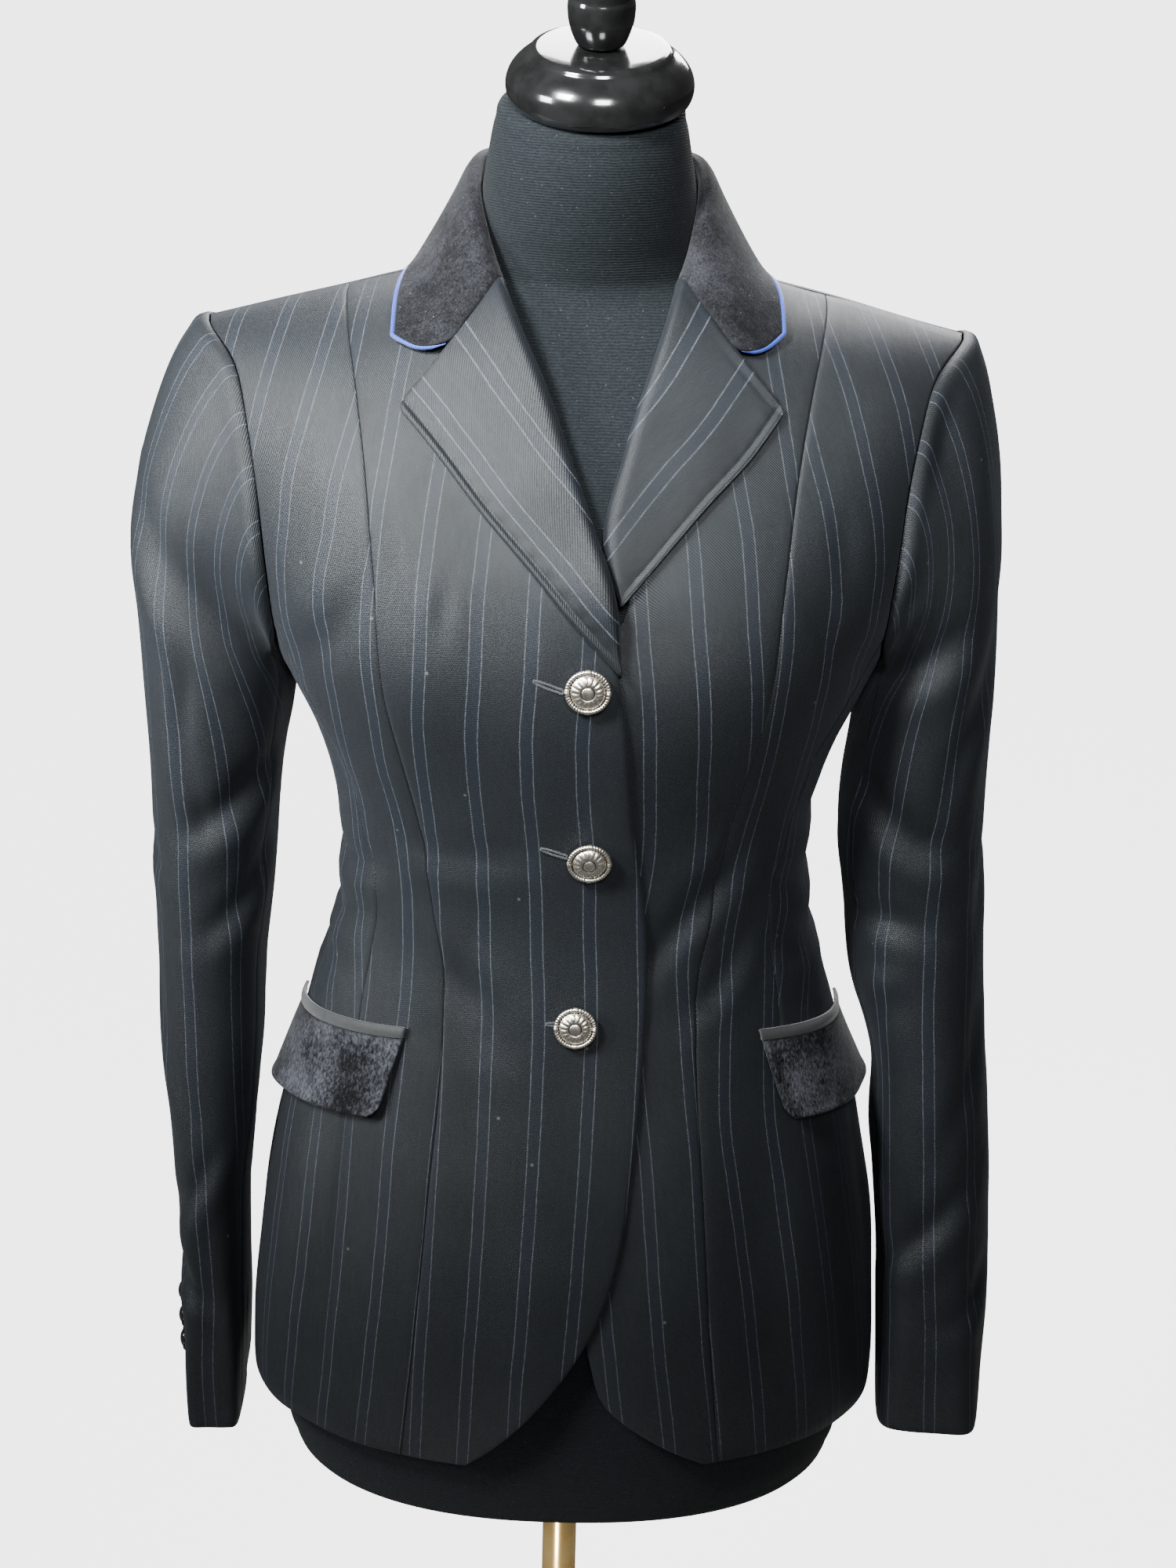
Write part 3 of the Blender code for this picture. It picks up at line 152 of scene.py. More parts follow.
# Level, half width, reach forward, reach back
bodyCurve = inMillimetres(
    (740, 183.7, 130, 130), (780, 183.3, 130, 134), (820, 181.2, 128, 137), (860, 176.8, 124, 136),
    (900, 169, 118, 129), (940, 159, 111, 117), (980, 147.5, 104, 103), (1020, 135.2, 99, 91),
    (1055, 128.4, 98, 83), (1085, 127.3, 101, 80), (1115, 129, 107, 83), (1145, 136.5, 116, 90),
    (1175, 150, 124, 98), (1205, 163, 127, 105), (1240, 176, 124.5, 111), (1280, 189, 118, 114),
    (1330, 204, 110, 113), (1383.5, 216, 104, 110),
)
# Level, princess seam and dart as distances from the middle
seamCurve = inMillimetres(
    (740, 89, 135), (830, 80, 129), (920, 72.5, 121.5), (965, 68.5, 116), (1005, 66.5, 111.5), (1035, 67, 106),
    (1065, 72, 102.5), (1100, 76.5, 109.5), (1145, 85, 121), (1190, 94.5, 137), (1255, 100, 150),
    (1300, 104.5, 160), (1340, 111, 170), (1383.5, 121.5, 188),
)
# Level, and angle of the seam between side and back
sideBackCurve = Curve((0.74, 128.0), (0.9, 131.0), (1.06, 136.0), (1.15, 131.0), (1.206, 122.0))
# Share, angle and level of the armhole's front from the shoulder tip, and of its back up to the tip again
armFrontCurve = Curve(
    (0.0, 59.5, 1.3835), (0.16, 52.5, 1.355), (0.32, 52.0, 1.315), (0.48, 55.0, 1.27),
    (0.64, 61.0, 1.227), (0.78, 70.0, 1.2), (0.9, 90.0, 1.187), (1.0, 122.0, 1.206),
)
armBackCurve = Curve(
    (0.0, 122.0, 1.206), (0.3, 129.0, 1.245), (0.6, 130.5, 1.3), (0.85, 127.5, 1.355), (1.0, 120.5, 1.3835)
)
# Level and distance past the middle of each front's free edge
rightEdge = inMillimetres(
    (750, 52), (760, 40), (773, 27.5), (799, 6.6), (833, -13.8), (874, -27.4), (926, -34.3), (990, -38.7),
    (1073.7, -37), (1121, -29.8), (1185, -23.6), (1213.6, -19), (1245, -10.5), (1277, -1), (1308.6, 11.8),
    (1340, 26), (1372, 49), (1383.5, 65.5),
)
leftEdge = inMillimetres(
    (750, 80), (756, 69), (769, 49.5), (790, 25.4), (819, 15), (850, 9), (910, -6), (1000, -13), (1100, -13),
    (1180, -13), (1205, -9), (1220, 5), (1233, 20), (1245, 24), (1260, 20.5), (1272, 17.5), (1310, 26.5),
    (1342, 37.5), (1374.5, 53), (1383.5, 65.5),
)
lowLevels = [0.75, 0.785, 0.812, 0.842, 0.875, 0.91, 0.948, 0.984, 1.018, 1.05, 1.08, 1.112, 1.15]
frontLowLevels = [0.75, 0.757, 0.768] + lowLevels[1:]
highLevels = [1.15 + 0.2335 * (1 - (1 - s / 9) ** 1.8) for s in range(1, 10)]
armFrontShares = [0.0, 0.08, 0.19, 0.32, 0.46, 0.59, 0.72, 0.77, 0.82, 0.865, 0.91, 0.955, 1.0]
armBackShares = [0.0, 0.22, 0.44, 0.64, 0.81, 0.93, 1.0]


def bodySection(level):
    half, front, back = np.moveaxis(bodyCurve(level), -1, 0)
    share = np.clip((level - coat["armpit"]) / (coat["shoulder"] - coat["armpit"]), 0.0, 1.0)
    ridge = coat["ridge"]
    front = -ridge + (front + ridge) * np.sqrt(1 - share**3)
    back = ridge + (back - ridge) * np.sqrt(1 - share**4)
    return half, front, back, share


def bodyPoint(angle, level):
    angle, level = both(angle, level)
    half, front, back, share = bodySection(level)
    c, s = squared(np.radians(angle), coat["square"])
    x = half * s
    y = (back - front) / 2 - (back + front) / 2 * c
    bustX, bustLevel = coat["bustAt"]
    y = y - np.where(c > 0, coat["bustRise"] * swell(np.abs(x) - bustX, level - bustLevel, *coat["bustSpread"]), 0)
    past = np.abs(x) - coat["slopeFrom"]
    drop = coat["slope"] * (np.hypot(past, 0.012) + past) / 2
    return np.stack([x, y, level - share**2 * drop], axis=-1)


def bodyNormal(angle, level):
    angle, level = both(angle, level)
    aside = bodyPoint(angle + 0.05, level) - bodyPoint(angle - 0.05, level)
    up = bodyPoint(angle, np.minimum(level + 2e-5, coat["shoulder"])) - bodyPoint(angle, level - 2e-5)
    return unit(np.cross(aside, up))


def offBody(angle, level, lift):
    return bodyPoint(angle, level) + bodyNormal(angle, level) * np.asarray(lift)[..., None]


def ellipseRest(across, half):
    # Share of the half width at a distance across, and how deep the section still is there
    share = np.minimum(np.abs(across) / half, 1.0)
    return share, (1 - share ** coat["square"]) ** (1 / coat["square"])


def bodyAngle(across, level):
    across, level = both(across, level)
    share, rest = ellipseRest(across, bodySection(level)[0])
    return np.copysign(np.degrees(np.arctan2(share, rest)), across)


def overBody(x, y, lift):
    # Points at a height off the coat, over places of its shoulders seen from above
    x, y = both(x, y)
    low, high = np.full(x.shape, coat["armpit"]), np.full(x.shape, coat["shoulder"])
    for _ in range(36):
        level = (low + high) / 2
        half, front, back, _ = bodySection(level)
        share, rest = ellipseRest(x, half)
        inside = np.abs(y - (back - front) / 2) < (back + front) / 2 * rest
        low, high = np.where(inside, level, low), np.where(inside, high, level)
    angle = np.copysign(np.degrees(np.arctan2(share, np.copysign(rest, (back - front) / 2 - y))), x)
    return offBody(angle, low, lift)


def keptOff(points, lift):
    lowest = overBody(points[..., 0], points[..., 1], lift)[..., 2]
    return np.concatenate([points[..., :2], np.maximum(points[..., 2], lowest)[..., None]], -1)


def lapRise(across, level):
    # The lapping front rises over the other one, most of all where a lapel lies between them
    on = 1 - smoothStep(coat["lapFrom"], coat["lapTo"], across)
    (x, z), spread = coat["riderAt"], coat["riderSpread"]
    return on * (coat["lapRise"] + coat["riderRise"] * swell(across - x, level - z, spread, spread))


def ventRise(angle, level):
    vent, full, end = coat["ventLevel"], coat["ventFull"], coat["ventEnd"]
    share = smoothStep(-vent - end, -vent - full, -np.asarray(level))
    return coat["ventRise"] * share * smoothStep(168.0, 179.0, angle)


def gridNormals(points):
    return unit(np.cross(np.gradient(points, axis=1), np.gradient(points, axis=0)))


def blended(bottom, top, left, right):
    bottom, top, left, right = (np.asarray(edge, float) for edge in (bottom, top, left, right))
    u = np.linspace(0, 1, len(bottom))[None, :, None]
    v = np.linspace(0, 1, len(left))[:, None, None]
    corners = (bottom[0] * (1 - u) + bottom[-1] * u) * (1 - v) + (top[0] * (1 - u) + top[-1] * u) * v
    return left[:, None] * (1 - u) + right[:, None] * u + bottom[None] * (1 - v) + top[None] * v - corners


def princessAngle(level):
    return bodyAngle(seamCurve(level)[..., 0], level)


def dartAngle(level):
    return bodyAngle(seamCurve(level)[..., 1], level)


def sideAngle(level):
    return sideBackCurve(level)[..., 0]


partsUp, partsRound = 4, 7


def between(left, right, parts):
    # Rows of values in even steps between two columns of them
    u = np.linspace(0, 1, parts)
    return left[:, None] * (1 - u) + right[:, None] * u


def risingPlaces(lowLeft, lowRight, top, leftEdge, rightEdge):
    # Level rows up to the underarm, then rows that climb between two edges to the top one
    levels = fine(lowLevels, partsUp)
    low = pairUp(between(lowLeft(levels), lowRight(levels), len(top)), levels[:, None])
    return np.vstack([low, blended(low[-1], top, leftEdge, rightEdge)[1:]])


def frontPlaces(edge):
    levels = np.concatenate([fine(frontLowLevels, partsUp), fine([coat["underarm"]] + highLevels, partsUp)[1:]])
    free = bodyAngle(edge(levels)[..., 0], levels)
    return pairUp(between(free, princessAngle(levels), 6 * partsRound + 1), levels[:, None])


def shoulderAngles():
    return np.linspace(princessAngle(coat["shoulder"]), armFrontCurve.rows[0, 1], 5 * partsRound + 1)


def sidePlaces():
    # The side front in two parts, either side of its dart
    foot, top = (float(dartAngle(coat["underarm"])), coat["underarm"]), armFrontCurve(coat["dartShare"])
    seam = np.linspace(foot, top, 3 * partsUp + 1)
    upArmhole = armFrontCurve(fine(armFrontShares[6::-1], partsUp))
    princess = fine([coat["underarm"]] + highLevels, partsUp)
    fore = risingPlaces(
        princessAngle, dartAngle, pairUp(shoulderAngles(), coat["shoulder"]),
        pairUp(princessAngle(princess), princess), np.vstack([seam, upArmhole[1:]])
    )
    under = armFrontCurve(fine(armFrontShares[6:], partsRound))
    backSeam = np.linspace(coat["underarm"], coat["seamTop"], 3 * partsUp + 1)
    aft = risingPlaces(dartAngle, sideAngle, under, seam, pairUp(sideAngle(backSeam), backSeam))
    return fore, aft


def backPlaces(lap):
    underarm, shoulderLevel, fall = coat["underarm"], coat["shoulder"], coat["shoulder"] - coat["backNeck"]
    neck = 180 - float(bodyAngle(coat["neckHalf"], shoulderLevel))
    gorge = np.linspace(180 - neck, princessAngle(shoulderLevel), 6 * partsRound + 1)
    shoulder = 180 - np.concatenate([gorge, shoulderAngles()[1:]])[::-1]
    t = fine([0.0, 0.3, 0.6, 1.0], partsRound)[1:]
    neckline = pairUp(neck + (180 - neck) * t, shoulderLevel - fall * np.sin(t * math.pi / 2))
    top = np.vstack([pairUp(shoulder, shoulderLevel), neckline])
    seam = np.linspace(underarm, coat["seamTop"], 3 * partsUp + 1)
    left = np.vstack([pairUp(sideAngle(seam), seam), armBackCurve(fine(armBackShares, partsUp))[1:]])
    rising = np.array([underarm] + highLevels)
    rising = underarm + (rising - underarm) * (coat["backNeck"] - underarm) / (shoulderLevel - underarm)

    def middle(level):
        return 180.0 + lap * smoothStep(-coat["ventLevel"] - coat["ventFull"], -coat["ventLevel"], -level)

    return risingPlaces(sideAngle, middle, top, left, pairUp(180.0, fine(rising, partsUp)))


print("cloth lengths and folds")
arcLevels, arcAngles = np.linspace(coat["bottom"], coat["shoulder"], 91), np.linspace(0, 192, 385)
arcRows = lengthAlong(bodyPoint(arcAngles[None], arcLevels[:, None]), 1)


def aroundAt(angle, level):
    # Length of cloth from the middle of the front round to an angle
    i = np.clip((np.asarray(level, float) - arcLevels[0]) / (arcLevels[1] - arcLevels[0]), 0, 89.999)
    j = np.clip(np.abs(angle) * 2.0, 0, 383.999)
    low, left = i.astype(int), j.astype(int)
    a, b = i - low, j - left
    below = arcRows[low, left] * (1 - b) + arcRows[low, left + 1] * b
    above = arcRows[low + 1, left] * (1 - b) + arcRows[low + 1, left + 1] * b
    return np.copysign(below * (1 - a) + above * a, angle)


def foldHeight(u, v, folds):
    # Soft troughs and ridges along their paths, each with a smaller one of the other kind beside it
    height = np.zeros(u.shape)
    for depth, width, *path in folds:
        path = np.array(path, float)
        if len(path) > 2:
            smooth = Curve(*np.column_stack([np.arange(len(path)), path]))
            path = smooth(np.linspace(0, len(path) - 1, 6 * len(path) - 5))
        best, along, side = np.full(u.shape, np.inf), np.zeros(u.shape), np.ones(u.shape)
        count = len(path) - 1
        for i in range(count):
            (a, b), (du, dv) = path[i], path[i + 1] - path[i]
            t = ((u - a) * du + (v - b) * dv) / (du * du + dv * dv)
            held = np.clip(t, 0, 1)
            far = np.hypot(u - a - held * du, v - b - held * dv)
            near = far < best
            best = np.where(near, far, best)
            along = np.where(near, (i + held) / count, along)
            side = np.where(near, np.sign((u - a) * dv - (v - b) * du), side)
        x = best * side / width
        taper = np.sin(np.pi * np.clip(along, 0.03, 0.97)) ** 0.7
        height += depth * taper * (hump(x, 0.0, 1.0) - 0.5 * hump(x, 1.7, 1.2))
    return height


def unrest(u, v, seed, height):
    # The slight unevenness that worn and pressed cloth keeps
    random = np.random.default_rng(seed)
    total = np.zeros(np.shape(u))
    for _ in range(9):
        turn, wave, start = random.uniform(0, math.pi), random.uniform(0.035, 0.11), random.uniform(0, 6.3)
        total += np.sin((u * math.cos(turn) + v * math.sin(turn)) * 6.28 / wave + start) * wave / 0.11
    return total * height / 4


# Folds of each half of the body in millimetres, as depth and width and then places: length round from the
# middle, and level
bodyFolds = {
    "right": [
        (-3, 9, (68, 1040), (56, 1024), (44, 1010)), (-2.4, 8, (15, 1108), (42, 1102), (70, 1100), (96, 1108)),
        (1.2, 10, (64, 988), (42, 980), (20, 975)), (-1.8, 4, (60, 1254), (64, 1240), (67, 1224)),
        (1.4, 4, (70, 1252), (72, 1240), (76, 1230)), (-0.6, 3, (88, 991.5), (66, 991.5)),
        (-2.6, 8, (98, 1090), (135, 1078), (190, 1084)), (-3, 9, (115, 1056), (160, 1042), (215, 1050)),
        (-1.8, 8, (130, 1020), (175, 1013), (210, 1022)), (-2.4, 10, (165, 1195), (128, 1215), (102, 1250)),
        (-1.8, 9, (175, 1175), (148, 1145), (130, 1115)), (3, 18, (150, 950), (162, 860), (180, 740)),
        (-4, 20, (215, 970), (230, 860), (255, 735)), (3.4, 20, (300, 950), (320, 860), (350, 735)),
        (-3, 18, (370, 930), (395, 840), (420, 735)), (-2.8, 10, (205, 1090), (260, 1068), (325, 1074)),
        (-2, 9, (225, 1122), (275, 1108), (310, 1112)), (-2.2, 9, (230, 1045), (280, 1033), (330, 1040)),
        (-2.6, 13, (265, 1175), (305, 1225), (325, 1290)), (-1.4, 12, (330, 1200), (355, 1260), (350, 1320)),
    ],
    "left": [
        (-3, 7.5, (30, 1029), (53.3, 1059), (69.6, 1076), (90, 1099)),
        (-2.4, 6.5, (56, 1010), (76.2, 1022.9), (98, 1054)), (1, 6, (45, 1085), (65, 1095), (80, 1112)),
        (-2.6, 8, (105, 1080), (145, 1070), (195, 1079)), (-2.8, 9, (110, 1042), (155, 1033), (210, 1044)),
        (-1.6, 7, (125, 1112), (160, 1106), (200, 1118)), (-2.2, 10, (170, 1195), (138, 1213), (115, 1242)),
        (-1.6, 8, (155, 1230), (135, 1255), (128, 1285)), (3, 18, (128, 950), (142, 860), (156, 740)),
        (-4, 20, (195, 960), (210, 860), (230, 735)), (3.2, 20, (275, 950), (295, 860), (320, 735)),
        (-2.6, 18, (350, 940), (375, 850), (400, 735)), (-2.6, 10, (210, 1080), (265, 1062), (320, 1066)),
        (-2, 8, (220, 1115), (265, 1099), (315, 1104)), (-1.8, 9, (235, 1035), (285, 1025), (330, 1032)),
        (-2.4, 12, (270, 1180), (300, 1235), (315, 1300)),
    ],
}
# Grain of each panel: level, and the length round at which the middle of one pair of stripes lies
frontGrain = {
    "right": inMillimetres(
        (740, 26.8), (786.3, 25.1), (857.4, 21.1), (912.4, 18.4), (955.8, 16.8), (1019.1, 16.2), (1052.5, 17.7),
        (1096.1, 19.2), (1112.7, 20.4), (1150.6, 23.3), (1177.7, 24), (1200.7, 22.5), (1255.5, 20.1), (1282.8, 17),
        (1307.5, 13), (1383.5, 1),
    ),
    "left": inMillimetres(
        (740, 90.5), (769.4, 86.8), (832.1, 78.9), (889.2, 73.3), (932.5, 69.3), (975, 64.1), (1014, 60.3),
        (1045.5, 58.2), (1062.9, 60.3), (1101.6, 65.1), (1156.9, 64.1), (1190.7, 62.4), (1230.2, 58.1),
        (1279.6, 52.4), (1300.6, 47.5), (1327.9, 42.4), (1383.5, 32),
    ),
}
sideGrain = {
    "right": inMillimetres(
        (740, 115), (756.6, 113.5), (832.3, 105.5), (879.7, 101.2), (934.3, 97.3), (984, 92), (1020, 89),
        (1076.7, 89.3), (1115.2, 94.5), (1145.2, 101), (1180.9, 104), (1224.3, 106), (1249, 103.1), (1268.6, 98.5),
        (1296.5, 93), (1327, 84), (1383.5, 69),
    ),
    "left": inMillimetres(
        (740, 143.5), (806.2, 135.5), (867.3, 126.9), (912.9, 118.8), (946.7, 112.8), (984, 111), (1020, 111),
        (1060, 112), (1100, 118), (1145.2, 126), (1180.9, 129), (1231.5, 131), (1262.6, 127), (1290.2, 120.5),
        (1310.2, 114), (1335.3, 106.5), (1383.5, 88),
    ),
}
# Level, and how much cloth the dart takes up
dartTake = inMillimetres(
    (740, 0), (984, 0), (1030, 7.5), (1070, 9.5), (1150, 7), (1383.5, 0),
)


# Shells of cloth
materials = {}
cloth = {"rimReach": 0.0004, "rimSteps": 3, "seamDip": 0.0004, "seamWidth": 0.0024, "inset": 0.00032}


def pulledIn(points, amount, sides="lrbt"):
    moved = points.copy()
    for mark, edge, inner in (("b", 0, 1), ("t", -1, -2)):
        if mark in sides:
            moved[edge] += amount * unit(points[inner] - points[edge])
    for mark, edge, inner in (("l", 0, 1), ("r", -1, -2)):
        if mark in sides:
            moved[:, edge] += amount * unit(points[:, inner] - points[:, edge])
    return moved


def edgeDistance(points, sides="lrbt"):
    # How far each point lies from the nearest cut edge of its panel
    far = np.full(points.shape[:2], 1.0)
    for mark, axis in (("lr", 1), ("bt", 0)):
        run = lengthAlong(points, axis)
        if mark[0] in sides:
            far = np.minimum(far, run)
        if mark[1] in sides:
            far = np.minimum(far, np.take(run, [-1], axis=axis) - run)
    return far


def gridQuads(index):
    return np.stack([index[:-1, :-1], index[:-1, 1:], index[1:, 1:], index[1:, :-1]], -1).reshape(-1, 4)


def ringFaces(rows, sides, turned=False, closed=False):
    # Quads between rings of points
    i, k = np.meshgrid(np.arange(rows if closed else rows - 1), np.arange(sides), indexing="ij")
    ahead, beside = (i + 1) % rows * sides, (k + 1) % sides
    quads = np.stack([i * sides + k, i * sides + beside, ahead + beside, ahead + k], -1).reshape(-1, 4)
    return quads[:, [0, 3, 2, 1]].tolist() if turned else quads.tolist()


def makeMesh(name, points, faces, slots, edge=1.0, uvs=None, faceSlots=None, mirror=False):
    points = np.array(points, float)
    if mirror:
        points = points * (-1, 1, 1)
        faces = [tuple(reversed(f)) for f in faces]
    mesh = bpy.data.meshes.new(name)
    mesh.from_pydata(points.tolist(), [], faces)
    for slotName in slots:
        mesh.materials.append(materials[slotName])
    if faceSlots is not None:
        mesh.polygons.foreach_set("material_index", np.array(faceSlots, np.int32))
    far = np.array(np.broadcast_to(edge, len(points)), np.float32)
    mesh.attributes.new("edge", "FLOAT", "POINT").data.foreach_set("value", far)
    if uvs is not None:
        corners = np.zeros(len(mesh.loops), np.int32)
        mesh.loops.foreach_get("vertex_index", corners)
        mesh.uv_layers.new(name="cloth").data.foreach_set("uv", np.array(uvs, np.float32)[corners].ravel())
    mesh.shade_smooth()
    mesh.set_sharp_from_angle(angle=math.radians(60))
    made = bpy.data.objects.new(name, mesh)
    bpy.context.scene.collection.objects.link(made)
    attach(made, "root")
    return made


def clothShell(name, grids, slots, mirror=False):
    # Grids of points, outward directions, cloth places and edge distances, joined where their points meet
    wall = coat["wall"]
    points, normals, places, edges = (
        np.concatenate([grid[i].reshape(-1, *grid[i].shape[2:]) for grid in grids]) for i in range(4)
    )
    keys = np.round(points * 1e6).astype(np.int64)
    _, first, found = np.unique(keys, axis=0, return_index=True, return_inverse=True)
    found = found.reshape(-1)
    points, normals, places, edges = points[first], normals[first], places[first], edges[first]
    quads, start = [], 0
    for grid in grids:
        rows, columns = grid[0].shape[:2]
        quads.append(gridQuads(found[start : start + rows * columns].reshape(rows, columns)))
        start += rows * columns
    quads = np.concatenate(quads)
    count = len(points)
    sides = np.concatenate([quads[:, [i, (i + 1) % 4]] for i in range(4)])
    codes, back = sides[:, 0] * count + sides[:, 1], sides[:, 1] * count + sides[:, 0]
    rimSides = sides[~np.isin(codes, back)]
    out = np.zeros((count, 3))
    across = unit(np.cross(points[rimSides[:, 1]] - points[rimSides[:, 0]], normals[rimSides[:, 0]]))
    for end in (0, 1):
        np.add.at(out, rimSides[:, end], across)
    onRim = np.unique(rimSides)
    out = unit(out[onRim])
    steps = cloth["rimSteps"]
    layers = [points, points - wall * normals]
    for k in range(1, steps + 1):
        turn = math.pi * k / (steps + 1)
        sink = wall * (1 - math.cos(turn)) / 2
        layers.append(points[onRim] + out * cloth["rimReach"] * math.sin(turn) - normals[onRim] * sink)
    place = np.zeros(count, int)
    place[onRim] = np.arange(len(onRim))
    rings = [rimSides] + [place[rimSides] + 2 * count + k * len(onRim) for k in range(steps)] + [rimSides + count]
    rims = np.concatenate([np.stack([a[:, 1], a[:, 0], b[:, 0], b[:, 1]], -1) for a, b in zip(rings, rings[1:])])
    faces = np.concatenate([quads, quads[:, ::-1] + count, rims])
    faceSlots = np.repeat([0, 1, 0], [len(quads), len(quads), len(rims)])
    uvs = np.concatenate([places, places] + [places[onRim]] * steps)
    edge = np.concatenate([edges, edges] + [np.zeros(len(onRim))] * steps)
    if mirror:
        uvs = uvs * (-1, 1)
    return makeMesh(name, np.concatenate(layers), faces.tolist(), slots, edge, uvs, faceSlots, mirror)


def heightOver(angle, level, side):
    # How far the folded cloth of one half stands off its plain shape
    around = aroundAt(angle, level)
    folds = foldHeight(around * 1000, level * 1000, bodyFolds[side]) / 1000
    return folds + unrest(around, level, coat["seed"][side], coat["unevenness"])


def bodyGrid(places, side, grain, rise=None, sides="lrbt", calm=None):
    angle, level = places[..., 0], places[..., 1]
    edges = edgeDistance(bodyPoint(angle, level), sides)
    lift = heightOver(angle, level, side)
    if calm is not None:
        lift = lift * calm(angle, level)
    lift = lift - cloth["seamDip"] * hump(edges, 0.0, cloth["seamWidth"])
    if rise is not None:
        lift = lift + rise(angle, level)
    points = offBody(angle, level, lift)
    u = grain(aroundAt(angle, level), level)
    return points, gridNormals(points), np.stack([u, level[:1, :] + lengthAlong(points)], -1), edges


def grainFrom(curve, taken=None):
    # Length round from the stripe that a panel's grain follows, less what the dart takes up
    return lambda around, level: around - curve(level)[..., 0] - (taken(level)[..., 0] if taken else 0.0)


def backGrain(around, level):
    # On the back the stripes are counted from its middle
    return aroundAt(180.0 + 0 * level, level) - around - coat["backStripe"]


print("materials")
# Colours are as light falls on them, and lengths are in metres
finish = {
    "wool": (0.0108, 0.0132, 0.016), "woolDark": (0.0026, 0.0034, 0.0046), "chalk": (0.112, 0.124, 0.14),
    # The velvet's light tone is partly the pile's own tone and partly painted sheen of its nap
    "velvet": (0.0012, 0.0012, 0.0018), "velvetPileAndSheen": (0.03, 0.031, 0.036), "piping": (0.008, 0.045, 0.42),
    "welt": (0.026, 0.028, 0.028), "jersey": (0.003, 0.0042, 0.0052), "jerseyLight": (0.0115, 0.0148, 0.0172),
    "repeat": 0.0272, "pair": 0.0063, "line": 0.00055, "twill": 0.0011,
}
effects = {}


def plug(tree, value, socket):
    # A plain number or colour set on a socket, or a link to it
    if isinstance(value, (int, float, tuple)):
        socket.default_value = value
    else:
        tree.links.new(value.socket if isinstance(value, Amount) else value, socket)


class Amount:
    # A number in a node tree, open to plain sums
    def __init__(self, tree, socket):
        self.tree, self.socket = tree, socket

    def by(self, operation, *others):
        node = self.tree.nodes.new("ShaderNodeMath")
        node.operation = operation
        for value, socket in zip((self, *others), node.inputs):
            plug(self.tree, value, socket)
        return Amount(self.tree, node.outputs[0])

    def __add__(self, other):
        return self.by("ADD", other)

    def __sub__(self, other):
        return self.by("SUBTRACT", other)

    def __mul__(self, other):
        return self.by("MULTIPLY", other)

    def __truediv__(self, other):
        return self.by("DIVIDE", other)

    def ranged(self, low, high, toLow=0.0, toHigh=1.0):
        node = self.tree.nodes.new("ShaderNodeMapRange")
        node.interpolation_type = "SMOOTHSTEP"
        for value, socket in zip((self, low, high, toLow, toHigh), node.inputs):
            plug(self.tree, value, socket)
        return Amount(self.tree, node.outputs[0])


def newGroup(name, inputs, outputs):
    # The first input is a place, and the others are numbers
    group = bpy.data.node_groups.new(name, "ShaderNodeTree")
    for label, value in inputs.items():
        kind = "NodeSocketVector" if value is None else "NodeSocketFloat"
        made = group.interface.new_socket(name=label, in_out="INPUT", socket_type=kind)
        if value is not None:
            made.default_value = value
    for label in outputs:
        group.interface.new_socket(name=label, in_out="OUTPUT", socket_type="NodeSocketFloat")
    effects[name] = group
    given = [Amount(group, socket) for socket in group.nodes.new("NodeGroupInput").outputs][: len(inputs)]
    return group, given, group.nodes.new("NodeGroupOutput").inputs


def noise(tree, place, stretch=None, scale=1.0, detail=3.0, rough=0.5):
    node = tree.nodes.new("ShaderNodeTexNoise")
    if stretch is not None:
        scaled = tree.nodes.new("ShaderNodeVectorMath")
        scaled.operation = "MULTIPLY"
        plug(tree, place, scaled.inputs[0])
        plug(tree, stretch, scaled.inputs[1])
        place = scaled.outputs[0]
    for label, value in (("Vector", place), ("Scale", scale), ("Detail", detail), ("Roughness", rough)):
        plug(tree, value, node.inputs[label])
    return Amount(tree, node.outputs[0])


def parted(tree, place):
    parts = tree.nodes.new("ShaderNodeSeparateXYZ")
    plug(tree, place, parts.inputs[0])
    return [Amount(tree, socket) for socket in parts.outputs]


